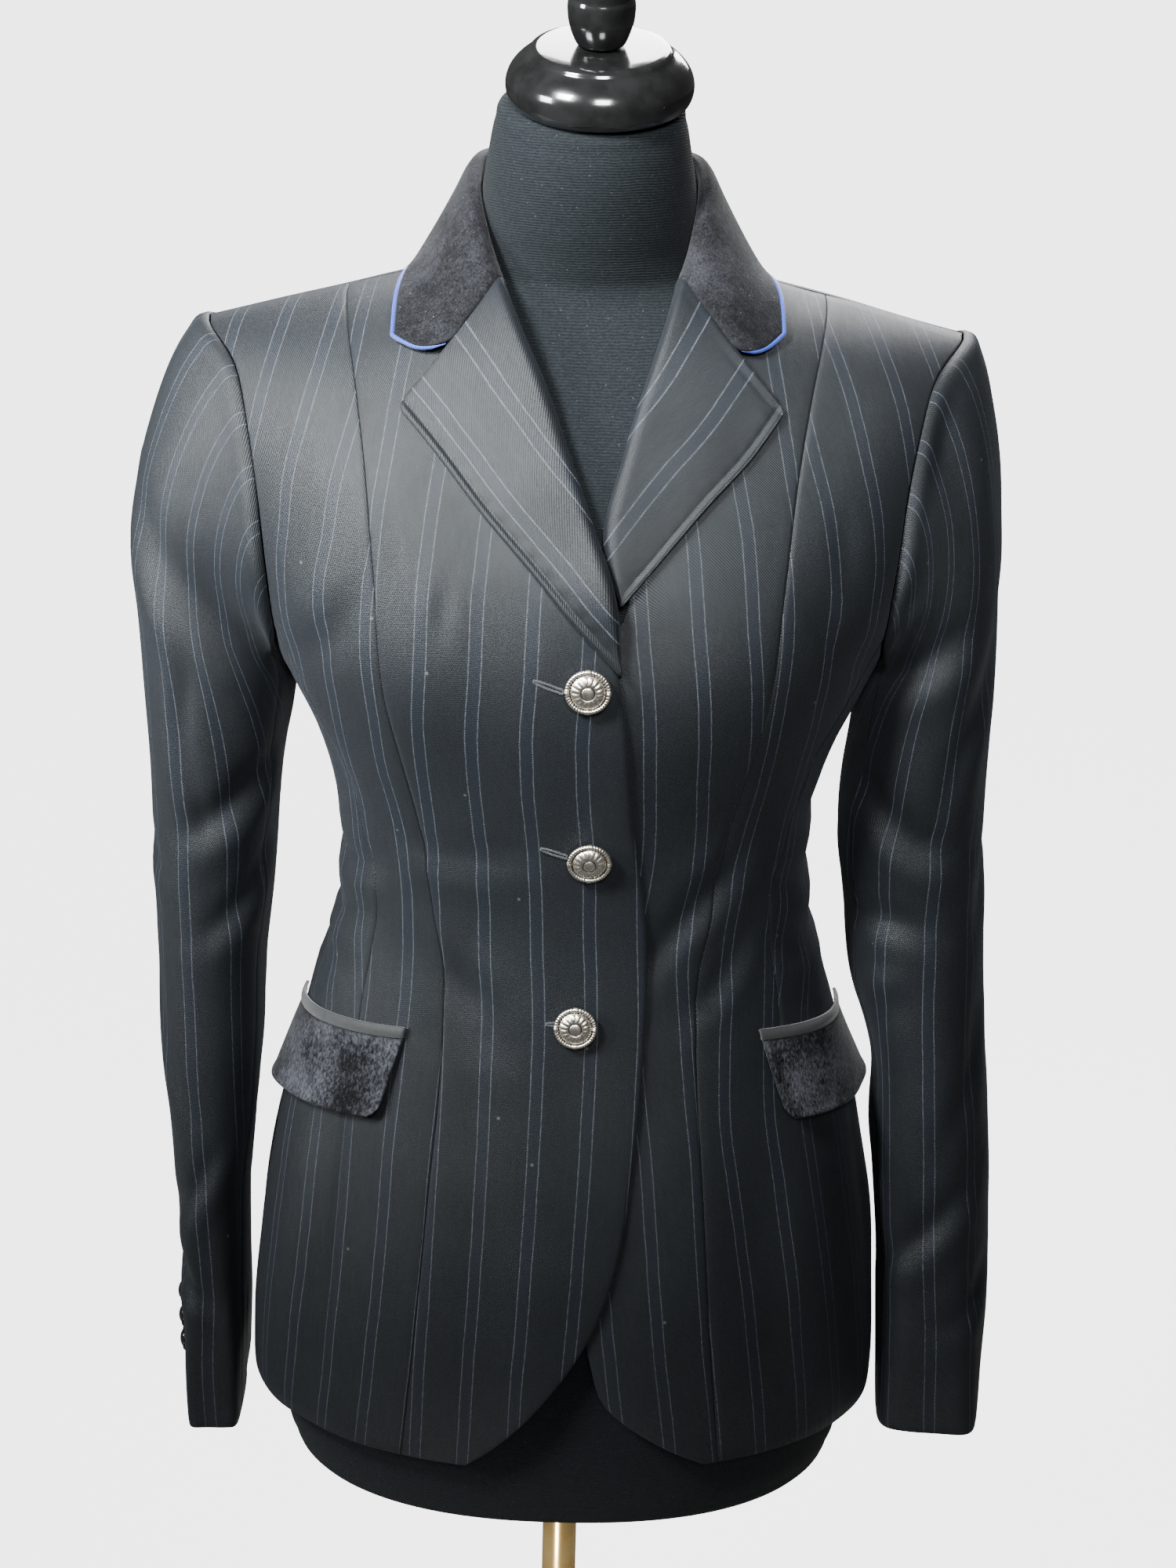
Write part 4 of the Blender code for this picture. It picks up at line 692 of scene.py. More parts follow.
def makeEffects():
    # Pairs of hairlines along the grain, each a run of tiny stitches
    inputs = {"Cloth": None, "Repeat": 0.0272, "Pair": 0.0063, "Line": 0.00055}
    group, (place, repeat, pair, line), out = newGroup("chalkStripes", inputs, ["Line", "Between"])
    x, y, _ = parted(group, place)
    wander = noise(group, place, (30, 30, 0)).by("MULTIPLY_ADD", 0.0012, -0.0006)
    middle = ((x + wander + repeat * 100.5).by("MODULO", repeat) - repeat * 0.5).by("ABSOLUTE")
    hairline = ((middle - pair * 0.5).by("ABSOLUTE") / line).ranged(0.35, 1.1, 1.0, 0.0)
    stitch = (y * 4200.0).by("SINE").ranged(-1.2, 0.2, 0.45, 1.0)
    worn = noise(group, place, (1500, 260, 0), 1.0, 2.0).ranged(0.3, 0.62, 0.35, 1.0)
    plug(group, hairline * (stitch * worn), out["Line"])
    plug(group, (middle / pair).ranged(0.3, 0.62, 1.0, 0.0), out["Between"])

    # Diagonal ribs of fine wool, with the unevenness of its yarn
    group, (place, rib), out = newGroup("woolTwill", {"Cloth": None, "Rib": 0.0011}, ["Height", "Shade"])
    x, y, _ = parted(group, place)
    ribs = ((x + y * 0.62) / rib * 6.283).by("SINE")
    yarn = ((y - x * 0.2) / rib * 9.9).by("SINE")
    fuzz = noise(group, place, (900, 900, 0), 1.0, 4.0, 0.65)
    slubs = noise(group, place, (420, 60, 0), 1.0, 3.0, 0.6)
    cloudy = noise(group, place, (18, 12, 0))
    plug(group, ribs * 0.32 + yarn * 0.14 + fuzz, out["Height"])
    plug(group, (fuzz * 0.5 + slubs * 0.35 + (ribs * 0.06 + cloudy * 0.45)).ranged(0.35, 0.95), out["Shade"])

    # Short pile that lies in uneven tufts; its Shade, with broad patches, is partly the pile's own tone and partly
    # painted sheen and sparkle of the nap
    group, (place, tuft), out = newGroup("pile", {"Place": None, "Tuft": 900.0}, ["Height", "Shade"])
    hairs = noise(group, place, (1.0, 1.0, 0.5), tuft, 4.0, 0.75)
    broad = noise(group, place, None, 32.0)
    middle = noise(group, place, None, 260.0, 2.0, 0.6)
    plug(group, hairs + middle * 0.6, out["Height"])
    plug(group, (hairs * 0.7 + (broad * 0.45 + middle * 0.2)).ranged(0.54, 0.92), out["Shade"])

    # Rare specks of dust and lint
    group, (place, scale, amount), out = newGroup("lint", {"Place": None, "Scale": 160.0, "Amount": 0.35}, ["Speck"])
    cell = group.nodes.new("ShaderNodeTexVoronoi")
    plug(group, place, cell.inputs["Vector"])
    plug(group, scale, cell.inputs["Scale"])
    chance = group.nodes.new("ShaderNodeSeparateColor")
    plug(group, cell.outputs["Color"], chance.inputs[0])
    small = Amount(group, cell.outputs["Distance"]).ranged(0.05, 0.14, 1.0, 0.0)
    plug(group, Amount(group, chance.outputs[0]).by("LESS_THAN", amount) * small, out["Speck"])

    # Fine rows of knitting
    group, (place, row), out = newGroup("knit", {"Place": None, "Row": 0.0014}, ["Height", "Shade"])
    bend = noise(group, place, None, 60.0, 2.0)
    rows = ((bend * 0.0016 + parted(group, place)[2]) / row * 6.283).by("SINE")
    fuzz = noise(group, place, (700, 700, 1500), 1.0, 3.0, 0.6)
    plug(group, rows * 0.3 + fuzz, out["Height"])
    plug(group, (rows * 0.1 + fuzz).ranged(0.3, 0.75), out["Shade"])


makeEffects()


class Finish:
    # A material whose surface values start as plain numbers on the shader
    def __init__(self, name, **plain):
        materials[name] = bpy.data.materials.new(name)
        materials[name].use_nodes = True
        self.tree = materials[name].node_tree
        self.shader = self.tree.nodes["Principled BSDF"]
        for label, value in plain.items():
            self.shader.inputs[label.replace("_", " ")].default_value = value

    def place(self, kind):
        if kind == "cloth":
            node = self.tree.nodes.new("ShaderNodeUVMap")
            node.uv_map = "cloth"
            return node.outputs[0]
        return self.tree.nodes.new("ShaderNodeTexCoord").outputs["Object"]

    def effect(self, name, place, **values):
        node = self.tree.nodes.new("ShaderNodeGroup")
        node.node_tree = effects[name]
        plug(self.tree, place, node.inputs[0])
        for label, value in values.items():
            plug(self.tree, value, node.inputs[label])
        return {socket.name: Amount(self.tree, socket) for socket in node.outputs}

    def mixed(self, share, a, b):
        node = self.tree.nodes.new("ShaderNodeMix")
        node.data_type = "RGBA"
        for value, socket in ((share, node.inputs[0]), (a, node.inputs[6]), (b, node.inputs[7])):
            plug(self.tree, (*value, 1.0) if isinstance(value, tuple) else value, socket)
        return node.outputs[2]

    def flecked(self, colour, place, scale, amount, share, fleck):
        specks = self.effect("lint", place, Scale=scale, Amount=amount)
        return self.mixed(specks["Speck"] * share, colour, fleck)

    # Painted shade: near cut edges and seams the colour is mixed towards a darker one, where the cloth dips and shade
    # falls
    def edgeShaded(self, colour, near, share, edge):
        node = self.tree.nodes.new("ShaderNodeAttribute")
        node.attribute_name = "edge"
        mask = Amount(self.tree, node.outputs["Fac"]).ranged(0.0, near, 1.0, 0.0)
        return self.mixed(mask * share, colour, edge)

    def painted(self, colour, height=None, strength=0.3, distance=0.0002, roughness=None):
        plug(self.tree, colour, self.shader.inputs["Base Color"])
        if height is not None:
            bump = self.tree.nodes.new("ShaderNodeBump")
            for label, value in (("Strength", strength), ("Distance", distance), ("Height", height)):
                plug(self.tree, value, bump.inputs[label])
            plug(self.tree, bump.outputs[0], self.shader.inputs["Normal"])
        if roughness is not None:
            plug(self.tree, roughness, self.shader.inputs["Roughness"])


def makeWool(name, line, chalk):
    tint = (0.75, 0.8, 0.9, 1.0)
    made = Finish(name, Specular_IOR_Level=0.36, Sheen_Weight=0.04, Sheen_Roughness=0.45, Sheen_Tint=tint)
    place = made.place("cloth")
    twill = made.effect("woolTwill", place, Rib=finish["twill"])
    stripes = made.effect("chalkStripes", place, Repeat=finish["repeat"], Pair=finish["pair"], Line=line)
    colour = made.mixed(twill["Shade"], finish["woolDark"], finish["wool"])
    colour = made.mixed(stripes["Between"] * 0.2, colour, (0.008, 0.013, 0.024))
    colour = made.mixed(stripes["Line"] * chalk, colour, finish["chalk"])
    colour = made.flecked(colour, made.place("object"), 110.0, 0.025, 0.3, (0.2, 0.2, 0.21))
    # Painted shade along the wool's seams and cut edges
    colour = made.edgeShaded(colour, 0.001, 0.35, (0.004, 0.004, 0.005))
    height = stripes["Line"] * 0.5 + twill["Height"]
    made.painted(colour, height, 0.55, 0.00035, twill["Shade"].ranged(0.0, 1.0, 0.58, 0.46))


def makeTwill(name, kind, rib, dark, light, strength, distance, edge=None, **plain):
    made = Finish(name, **plain)
    twill = made.effect("woolTwill", made.place(kind), Rib=rib)
    colour = made.mixed(twill["Shade"], dark, light)
    # An edge setting adds painted shade along seams and cut edges
    if edge is not None:
        colour = made.edgeShaded(colour, *edge)
    made.painted(colour, twill["Height"], strength, distance)


def makeMaterials():
    makeWool("stripedWool", finish["line"] * 0.74, 0.58)
    makeWool("lapelWool", finish["line"] * 0.8, 0.64)
    makeTwill(
        "lining", "cloth", 0.0006, (0.008, 0.009, 0.012), (0.018, 0.019, 0.024), 0.15, 0.0001,
        Roughness=0.35, Sheen_Weight=0.2,
    )
    makeTwill(
        "piping", "cloth", 0.0012, (0.006, 0.03, 0.26), finish["piping"], 0.5, 0.0003,
        Roughness=0.5, Sheen_Weight=0.3,
    )
    # The welt has painted shade along its edges
    makeTwill(
        "welt", "cloth", 0.001, (0.012, 0.013, 0.013), finish["welt"], 0.4, 0.0003,
        (0.0014, 1.0, (0.01, 0.01, 0.012)), Roughness=0.6, Sheen_Weight=0.3,
    )
    makeTwill(
        "thread", "object", 0.0006, (0.012, 0.013, 0.016), (0.045, 0.047, 0.055), 0.4, 0.0002,
        Roughness=0.6, Sheen_Weight=0.3,
    )

    # Painted sheen: the pile's light colour is partly its own tone and partly the nap catching light, and the flap's
    # velvet is a copy 3.2 times lighter, for painted highlights
    for name, tuft, light in (("velvet", 1100.0, 1.0), ("flapVelvet", 760.0, 3.2)):
        made = Finish(name, Roughness=0.8, Specular_IOR_Level=0.15, Sheen_Weight=0.12, Sheen_Roughness=0.3)
        place = made.place("object")
        pile = made.effect("pile", place, Tuft=tuft)
        colour = made.mixed(pile["Shade"], finish["velvet"], tuple(c * light for c in finish["velvetPileAndSheen"]))
        colour = made.flecked(colour, place, 240.0, 0.25, 0.45, (0.17, 0.17, 0.18))
        # Painted shade along the velvet's edges and seams
        made.painted(made.edgeShaded(colour, 0.0012, 0.5, (0.006, 0.006, 0.007)), pile["Height"], 0.75, 0.0005)

    made = Finish("jersey", Roughness=0.85, Specular_IOR_Level=0.15, Sheen_Weight=0.03, Sheen_Roughness=0.5)
    place = made.place("object")
    knit = made.effect("knit", place, Row=0.0013)
    colour = made.mixed(knit["Shade"], finish["jersey"], finish["jerseyLight"])
    made.painted(made.flecked(colour, place, 300.0, 0.35, 0.28, (0.14, 0.16, 0.17)), knit["Height"], 0.65, 0.0004)

    metal, lacquer = {"Metallic": 1.0}, {"Coat_Weight": 0.8, "Coat_Roughness": 0.05}
    gloss, paint = {"Coat_Weight": 0.5, "Coat_Roughness": 0.06}, {"Coat_Weight": 0.2, "Coat_Roughness": 0.2}
    # Dark and light colour, plain values, roughness from and to, and how fine the unevenness is
    hard = {
        "silver": ((0.66, 0.58, 0.46), (0.98, 0.94, 0.86), metal, (0.42, 0.26), 500.0),
        "silverDark": ((0.03, 0.028, 0.025), (0.12, 0.11, 0.1), metal, (0.5, 0.34), 500.0),
        "glossy": ((0.006, 0.006, 0.007), (0.016, 0.016, 0.018), gloss, (0.16, 0.08), 300.0),
        "lacquer": ((0.005, 0.005, 0.005), (0.012, 0.012, 0.012), lacquer, (0.2, 0.1), 60.0),
        "brass": ((0.74, 0.46, 0.15), (0.92, 0.66, 0.28), {"Metallic": 0.7}, (0.3, 0.2), 30.0),
        "painted": ((0.01, 0.01, 0.011), (0.02, 0.02, 0.022), paint, (0.42, 0.3), 120.0),
    }
    for name, (dark, light, plain, rough, scale) in hard.items():
        made = Finish(name, **plain)
        place = made.place("object")
        cloudy = noise(made.tree, place, None, scale, 4.0, 0.6)
        colour = made.mixed(cloudy.ranged(0.3, 0.7), dark, light)
        colour = made.flecked(colour, place, 260.0, 0.08, 0.15, (0.3, 0.3, 0.3))
        made.painted(colour, cloudy, 0.05, 0.0002, cloudy.ranged(0.3, 0.7, *rough))


makeMaterials()


print("body panels")


def declare(piece, node, slot):
    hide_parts(node)


def declareCloth(piece, node, slot, held, restsOn, flat, area):
    declare(piece, node, slot)


def underLapel(angle, level):
    # Folds fade where the lapels lie
    return 1 - 0.85 * smoothStep(1.225, 1.262, level) * (1 - smoothStep(24.0, 34.0, angle))


def lappedRise(angle, level):
    return lapRise(bodyPoint(angle, level)[..., 0], level)


def panel(name, grid, mirror):
    grid = (pulledIn(grid[0], cloth["inset"]), *grid[1:])
    return clothShell(name, [grid], ["stripedWool", "lining"], mirror)


def makeFront(side, edge, mirror):
    rise = lappedRise if side == "right" else None
    grid = bodyGrid(frontPlaces(edge), side, grainFrom(frontGrain[side]), rise, calm=underLapel)
    return panel("show_front_" + side, grid, mirror)


def makeBack(side, mirror):
    lap, rise = (coat["ventLap"], ventRise) if side == "left" else (0.0, None)
    return panel("show_back_" + side, bodyGrid(backPlaces(lap), side, backGrain, rise), mirror)


def makeSide(side, mirror):
    # Above the foot of its dart the side front is slit, and below it the two parts share a column
    fore, aft = sidePlaces()
    slit = int(np.argmin(np.abs(fore[:, -1, 1] - coat["dartFoot"]))) + 1
    fore = list(bodyGrid(fore, side, grainFrom(sideGrain[side]), sides="lbt"))
    aft = list(bodyGrid(aft, side, grainFrom(sideGrain[side], dartTake), sides="rbt"))
    shared = fore[0][:slit, -1].copy()
    aft[0][:slit, 0] = shared
    normal = unit(fore[1][:slit, -1] + aft[1][:slit, 0])
    fore[0], aft[0] = pulledIn(fore[0], cloth["inset"]), pulledIn(aft[0], cloth["inset"])
    shared[0] = fore[0][0, -1]
    for grid, column in ((fore, -1), (aft, 0)):
        grid[0][:slit, column], grid[1][:slit, column] = shared, normal
        grid[2][:slit, column] = fore[2][:slit, -1]
        run = np.linalg.norm(grid[0] - grid[0][:, [column]], axis=2)
        grid[3][slit:] = np.minimum(grid[3][slit:], run[slit:])
    return clothShell("show_side_" + side, [tuple(fore), tuple(aft)], ["stripedWool", "lining"], mirror)


print("sleeves")
# Height, slant, middle across and deep, half widths, turn and squareness of each ring
sleeveCurves = {
    "right": Curve(
        (0, 1.205, 1, 0.1925, 0, 0.0415, 0.056, 0, 2.1), (0.085, 1.163, 0.55, 0.194, 0.001, 0.0392, 0.057, 2, 2.1),
        (0.165, 1.124, 0.25, 0.196, 0.003, 0.0358, 0.0565, 3, 2.2),
        (0.245, 1.085, 0.1, 0.1978, 0.005, 0.034, 0.0555, 4, 2.2),
        (0.33, 1.045, 0.05, 0.1995, 0.006, 0.0326, 0.0545, 4, 2.3),
        (0.425, 1, 0, 0.2018, 0.005, 0.03, 0.0535, 4, 2.3), (0.53, 0.95, 0, 0.203, 0.002, 0.028, 0.0525, 4, 2.4),
        (0.635, 0.9, 0, 0.204, -0.001, 0.024, 0.0515, 4, 2.6), (0.735, 0.85, 0, 0.2048, -0.004, 0.02, 0.05, 3, 2.8),
        (0.835, 0.8, 0, 0.2044, -0.006, 0.0174, 0.049, 3, 3.6),
        (0.935, 0.75, 0, 0.2052, -0.008, 0.0166, 0.048, 3, 6), (1, 0.718, 0, 0.2052, -0.009, 0.0154, 0.047, 3, 8),
    ),
    "left": Curve(
        (0, 1.205, 1, 0.185, 0, 0.0345, 0.059, 0, 2.1), (0.085, 1.163, 0.55, 0.184, 0.001, 0.0365, 0.057, 0, 2.1),
        (0.165, 1.124, 0.25, 0.1838, 0.003, 0.0385, 0.055, 0, 2.2),
        (0.245, 1.085, 0.1, 0.1842, 0.005, 0.0395, 0.053, 2, 2.2),
        (0.33, 1.045, 0.05, 0.189, 0.006, 0.0384, 0.051, 4, 2.2), (0.425, 1, 0, 0.1935, 0.005, 0.038, 0.05, 6, 2.2),
        (0.53, 0.95, 0, 0.2035, 0.002, 0.0325, 0.049, 8, 2.2),
        (0.635, 0.9, 0, 0.2072, -0.002, 0.034, 0.047, 8, 2.3),
        (0.735, 0.85, 0, 0.212, -0.006, 0.033, 0.0455, 8, 2.3),
        (0.835, 0.8, 0, 0.215, -0.01, 0.0322, 0.045, 8, 2.8),
        (0.935, 0.75, 0, 0.2165, -0.012, 0.0304, 0.044, 8, 4.4), (1, 0.727, 0, 0.2174, -0.013, 0.0296, 0.043, 8, 6),
    ),
}
sleeves = {
    "headReach": 0.045, "headRows": 30, "rows": 96, "frontSeam": 0.41, "backSeam": 0.7, "girth": 0.29,
    "foldShare": 0.8, "stripeStart": {"right": 0.004, "left": 0.01}, "unevenness": 0.0008, "calmTo": 0.02,
    "seed": {"right": 11, "left": 12}, "headRise": 0.0012, "headAt": 0.006, "headWidth": 0.005,
    "headDip": 0.0004, "dipWidth": 0.002, "seamGap": 0.0002,
    "cuffSquare": 0.55, "cuffLow": 0.745, "cuffHigh": 0.9, "noseInset": 0.0006, "noseDepth": 0.014,
    # Folds: depth and width, and then places, as hundredths of the way round from outermost, forward first, and
    # height, with the lengths in millimetres
    "right": [
        (-4.2, 8, (14, 1376), (21, 1345), (31, 1300), (37, 1268)),
        (2.2, 5, (33, 1292), (37, 1278), (41, 1272)),
        (-2.4, 5, (30, 1262), (36, 1252), (42, 1252)),
        (-6.2, 13, (5, 1272), (16, 1240), (30, 1205), (43, 1186)),
        (-3.4, 7, (15, 1236), (21, 1190), (20, 1140), (25, 1085)),
        (3.4, 11, (31, 1172), (37, 1135), (44, 1112)),
        (-5.6, 10, (17, 1088), (30, 1104), (44, 1136)),
        (-2.2, 8, (1, 1078), (9, 1066), (16, 1070)),
        (-4, 9, (22, 1028), (33, 1046), (44, 1080)),
        (-2.2, 9, (7, 1000), (13, 950), (24, 905)),
        (-3.6, 10, (5, 848), (17, 868), (32, 906)),
        (-4.4, 9, (3, 836), (14, 812), (30, 800)),
        (-3.6, 10, (-6, 1128), (-20, 1094), (-38, 1112)),
        (-2.6, 8, (-14, 1052), (-27, 1048), (-42, 1070)),
        (-3, 11, (-8, 1300), (-17, 1235), (-30, 1190)),
        (-2.6, 10, (-16, 1010), (-22, 950), (-36, 915)),
        (-3, 9, (-12, 862), (-26, 842), (-40, 852)),
    ],
    "left": [
        (-4.6, 10, (13, 1374), (15, 1325), (18, 1265)),
        (2.4, 6, (27, 1266), (34, 1246), (41, 1240)),
        (-2.8, 5, (30, 1236), (36, 1226), (43, 1228)),
        (-5.4, 11, (17, 1218), (29, 1196), (42, 1182)),
        (-3.2, 9, (1, 1262), (8, 1200), (18, 1145), (22, 1100)),
        (-5.4, 10, (14, 1084), (27, 1096), (42, 1128)),
        (-2.4, 8, (-2, 1094), (5, 1070), (10, 1030)),
        (-4.4, 9, (20, 1038), (32, 1046), (45, 1040)),
        (2.4, 9, (26, 1012), (34, 1006), (42, 990)),
        (-2.2, 9, (7, 1000), (12, 950), (22, 905)),
        (-5, 9, (13, 886), (26, 858), (40, 828)),
        (-2.6, 8, (6, 836), (15, 806), (26, 796)),
        (-3.4, 10, (-7, 1112), (-22, 1124), (-40, 1098)),
        (-2.8, 9, (-12, 1050), (-26, 1062), (-42, 1042)),
        (-3, 11, (-6, 1320), (-14, 1250), (-28, 1200)),
        (-2.4, 10, (-12, 1000), (-24, 960), (-38, 935)),
        (-3.2, 9, (-8, 884), (-22, 858), (-36, 868)),
    ],
}


def sleeveRing(curve, share, roundShare):
    height, slant, x, y, half, deep, turn, square = np.moveaxis(curve(share), -1, 0)
    c, s = squared(2 * math.pi * roundShare, square)
    dx, dy = half * c, -deep * s
    turn = np.radians(turn)
    dx, dy = dx * np.cos(turn) + dy * np.sin(turn), dy * np.cos(turn) - dx * np.sin(turn)
    return np.stack([x + dx, y + dy, height + slant * dx], -1)


def sleeveGrid(side):
    # Rows from the cuff up to the armhole, and columns round from the shoulder tip, forward first
    curve = sleeveCurves[side]
    around = np.vstack([armFrontCurve(fine(armFrontShares, 6)), armBackCurve(fine(armBackShares, 9))[1:]])
    edge = bodyPoint(around[:, 0], around[:, 1])
    lengths = lengthAlong(edge)
    shares = lengths / lengths[-1]
    count = len(shares) - 1
    normal = bodyNormal(around[:, 0], around[:, 1])
    order = np.arange(count + 1)
    ahead = edge[(order + 2) % count] - edge[(order - 2) % count]
    outward = unit(np.cross(normal, unit(ahead)))
    under = smoothStep(0.35, 1.0, (coat["shoulder"] - around[:, 1]) / (coat["shoulder"] - coat["armpit"]))[:, None]
    turn = np.radians(20 + 95 * under)
    leaving = np.cos(turn) * outward + np.sin(turn) * normal
    start = edge + leaving * sleeves["seamGap"]
    ring, below = sleeveRing(curve, 0.0 * shares, shares), sleeveRing(curve, 0.02 + 0.0 * shares, shares)
    reach = np.linalg.norm(ring - start, axis=1, keepdims=True)
    out = leaving * np.minimum(sleeves["headReach"], reach * (0.9 - 0.3 * under))
    t = np.linspace(0, 1, sleeves["headRows"], endpoint=False)[:, None, None]
    head = hermite(start, out, ring, unit(below - ring) * reach * 1.1, t)
    body = sleeveRing(curve, np.linspace(0, 1, sleeves["rows"])[:, None], shares[None])
    return shares, np.concatenate([head, body])[::-1]


def sleevePoints(side):
    shares, points = sleeveGrid(side)
    points = points[:, ::-1].copy()
    turned = 1 - shares[::-1]
    normals = gridNormals(np.concatenate([points[:, -3:-1], points, points[:, 1:3]], axis=1))[:, 2:-2]
    # The pressed cuff has a flat nose between two sharp corners
    forward = smoothStep(0.05, 0.25, 1 - turned) * (1 - smoothStep(0.27, 0.45, 1 - turned))
    low = 1 - smoothStep(sleeves["cuffLow"], sleeves["cuffHigh"], points[:, :1, 2])
    nose = points[..., 1].min(axis=1, keepdims=True) + sleeves["noseInset"]
    near = hump(points[..., 1], nose, sleeves["noseDepth"])
    points[..., 1] += forward[None] * low * sleeves["cuffSquare"] * (nose - points[..., 1]) * near
    signed = (1 - turned + 0.5) % 1.0 - 0.5
    u, v = np.broadcast_arrays(signed * sleeves["girth"], points[..., 2])
    hundredth = sleeves["girth"] * 10
    folds = [(depth, width, *[(a * hundredth, b) for a, b in path]) for depth, width, *path in sleeves[side]]
    fromTop = np.linalg.norm(points - points[-1:], axis=2)
    lift = foldHeight(u * 1000, v * 1000, folds) / 1000 * sleeves["foldShare"]
    lift = lift + unrest(u, v, sleeves["seed"][side], sleeves["unevenness"])
    lift = lift * smoothStep(0.0, sleeves["calmTo"], fromTop)
    # The head of the sleeve stands up a little all round its seam
    lift = lift + sleeves["headRise"] * hump(fromTop, sleeves["headAt"], sleeves["headWidth"])
    lift = lift - sleeves["headDip"] * hump(fromTop, 0.0, sleeves["dipWidth"])
    return turned, points + normals * lift[..., None], normals, points


def makeSleeve(side, mirror):
    turned, points, _, plain = sleevePoints(side)
    last = len(turned) - 1
    front, back = (int(np.argmin(np.abs(turned - (1 - sleeves[seam])))) for seam in ("frontSeam", "backSeam"))
    run = lengthAlong(plain, 1)
    made = []
    for name, columns in (
        ("show_top_sleeve_", [*range(front, last), *range(0, back + 1)]),
        ("show_under_sleeve_", list(range(back, front + 1))),
    ):
        # The columns past the shoulder tip go on from the length reached there
        past = (np.arange(len(columns)) >= last - front) & (columns[0] == front)
        u = run[:, columns] + np.where(past, run[:, -1:], 0.0) - run[:, -1:] + sleeves["stripeStart"][side]
        beside = [(columns[0] - 1) % last, *columns, (columns[-1] + 1) % last]
        normal = gridNormals(points[:, beside])[:, 1:-1]
        grid = points[:, columns]
        edges = edgeDistance(grid)
        grid = grid - normal * (cloth["seamDip"] * hump(edges, 0.0, cloth["seamWidth"]))[..., None]
        made.append(panel(name + side, (grid, normal, np.stack([u, lengthAlong(grid)], -1), edges), mirror))
    return made


print("lapels")
lapels = {
    "rollRise": 0.004, "rollReach": 0.0065, "neckLift": 0.0085, "lay": 0.0007, "cord": 0.0009, "cordAt": 0.0016,
    "cordWidth": 0.0014, "sink": 0.0012, "grooveWidth": 0.001, "dimple": 0.0004, "dimpleAt": 0.0062,
    "dimpleWidth": 0.0022, "unevenness": 0.0007, "seed": {"right": 21, "left": 22}, "round": 0.006,
    "groove": 0.0006, "grooveAt": 0.004, "rows": 72,
    "right": Curve(
        (0, -0.0215, 1.212, -0.0205, 1.2105), (0.2, -0.0175, 1.2453, 0.001, 1.2325),
        (0.4, -0.0072, 1.277, 0.024, 1.258), (0.6, 0.0058, 1.3086, 0.0465, 1.2815),
        (0.8, 0.0195, 1.34, 0.0685, 1.3065), (1, 0.0395, 1.3745, 0.0895, 1.329),
    ),
    "left": Curve(
        (0, 0.0195, 1.2425, 0.0215, 1.2435), (0.25, 0.0108, 1.272, 0.039, 1.2635),
        (0.5, 0.0195, 1.31, 0.059, 1.286), (0.75, 0.03, 1.342, 0.08, 1.308), (1, 0.043, 1.3755, 0.0975, 1.3315),
    ),
    "steps": [0.0, 0.03, 0.08, 0.15, 0.25, 0.4, 0.6, 0.8, 1.0],
    "closeSteps": [0.0062, 0.0052, 0.0046, 0.004, 0.0035, 0.003, 0.0024, 0.0018, 0.0012, 0.0006, 0.0],
    "stripeAt": {"right": 0.01325, "left": 0.02475},
}


def lapelWidth(side, share):
    rollX, rollZ, edgeX, edgeZ = np.moveaxis(lapels[side](share), -1, 0)
    return (rollX, rollZ, edgeX, edgeZ), np.hypot(edgeX - rollX, edgeZ - rollZ)


def lapelPoint(side, share, t):
    share, t = both(share, t)
    (rollX, rollZ, edgeX, edgeZ), width = lapelWidth(side, share)
    small = np.minimum(1.0, width / 0.02)
    across, level = rollX + (edgeX - rollX) * t, rollZ + (edgeZ - rollZ) * t
    turn = np.minimum(t * width / np.minimum(lapels["rollReach"], 0.34 * width), 1.0)
    fold = lapels["rollRise"] * small + lapels["neckLift"] * smoothStep(0.66, 1.05, share)
    lift = coat["wall"] + lapels["lay"] + fold * np.maximum(1 - t, 0.0) ** 1.5
    sink = lapels["sink"] * small
    lift = -sink + (lift + sink) * np.sqrt(np.maximum(1 - (1 - turn) ** 2, 0.0))
    if side == "right":
        lift = lift + lapRise(across, level)
    return offBody(bodyAngle(across, level), level, lift)


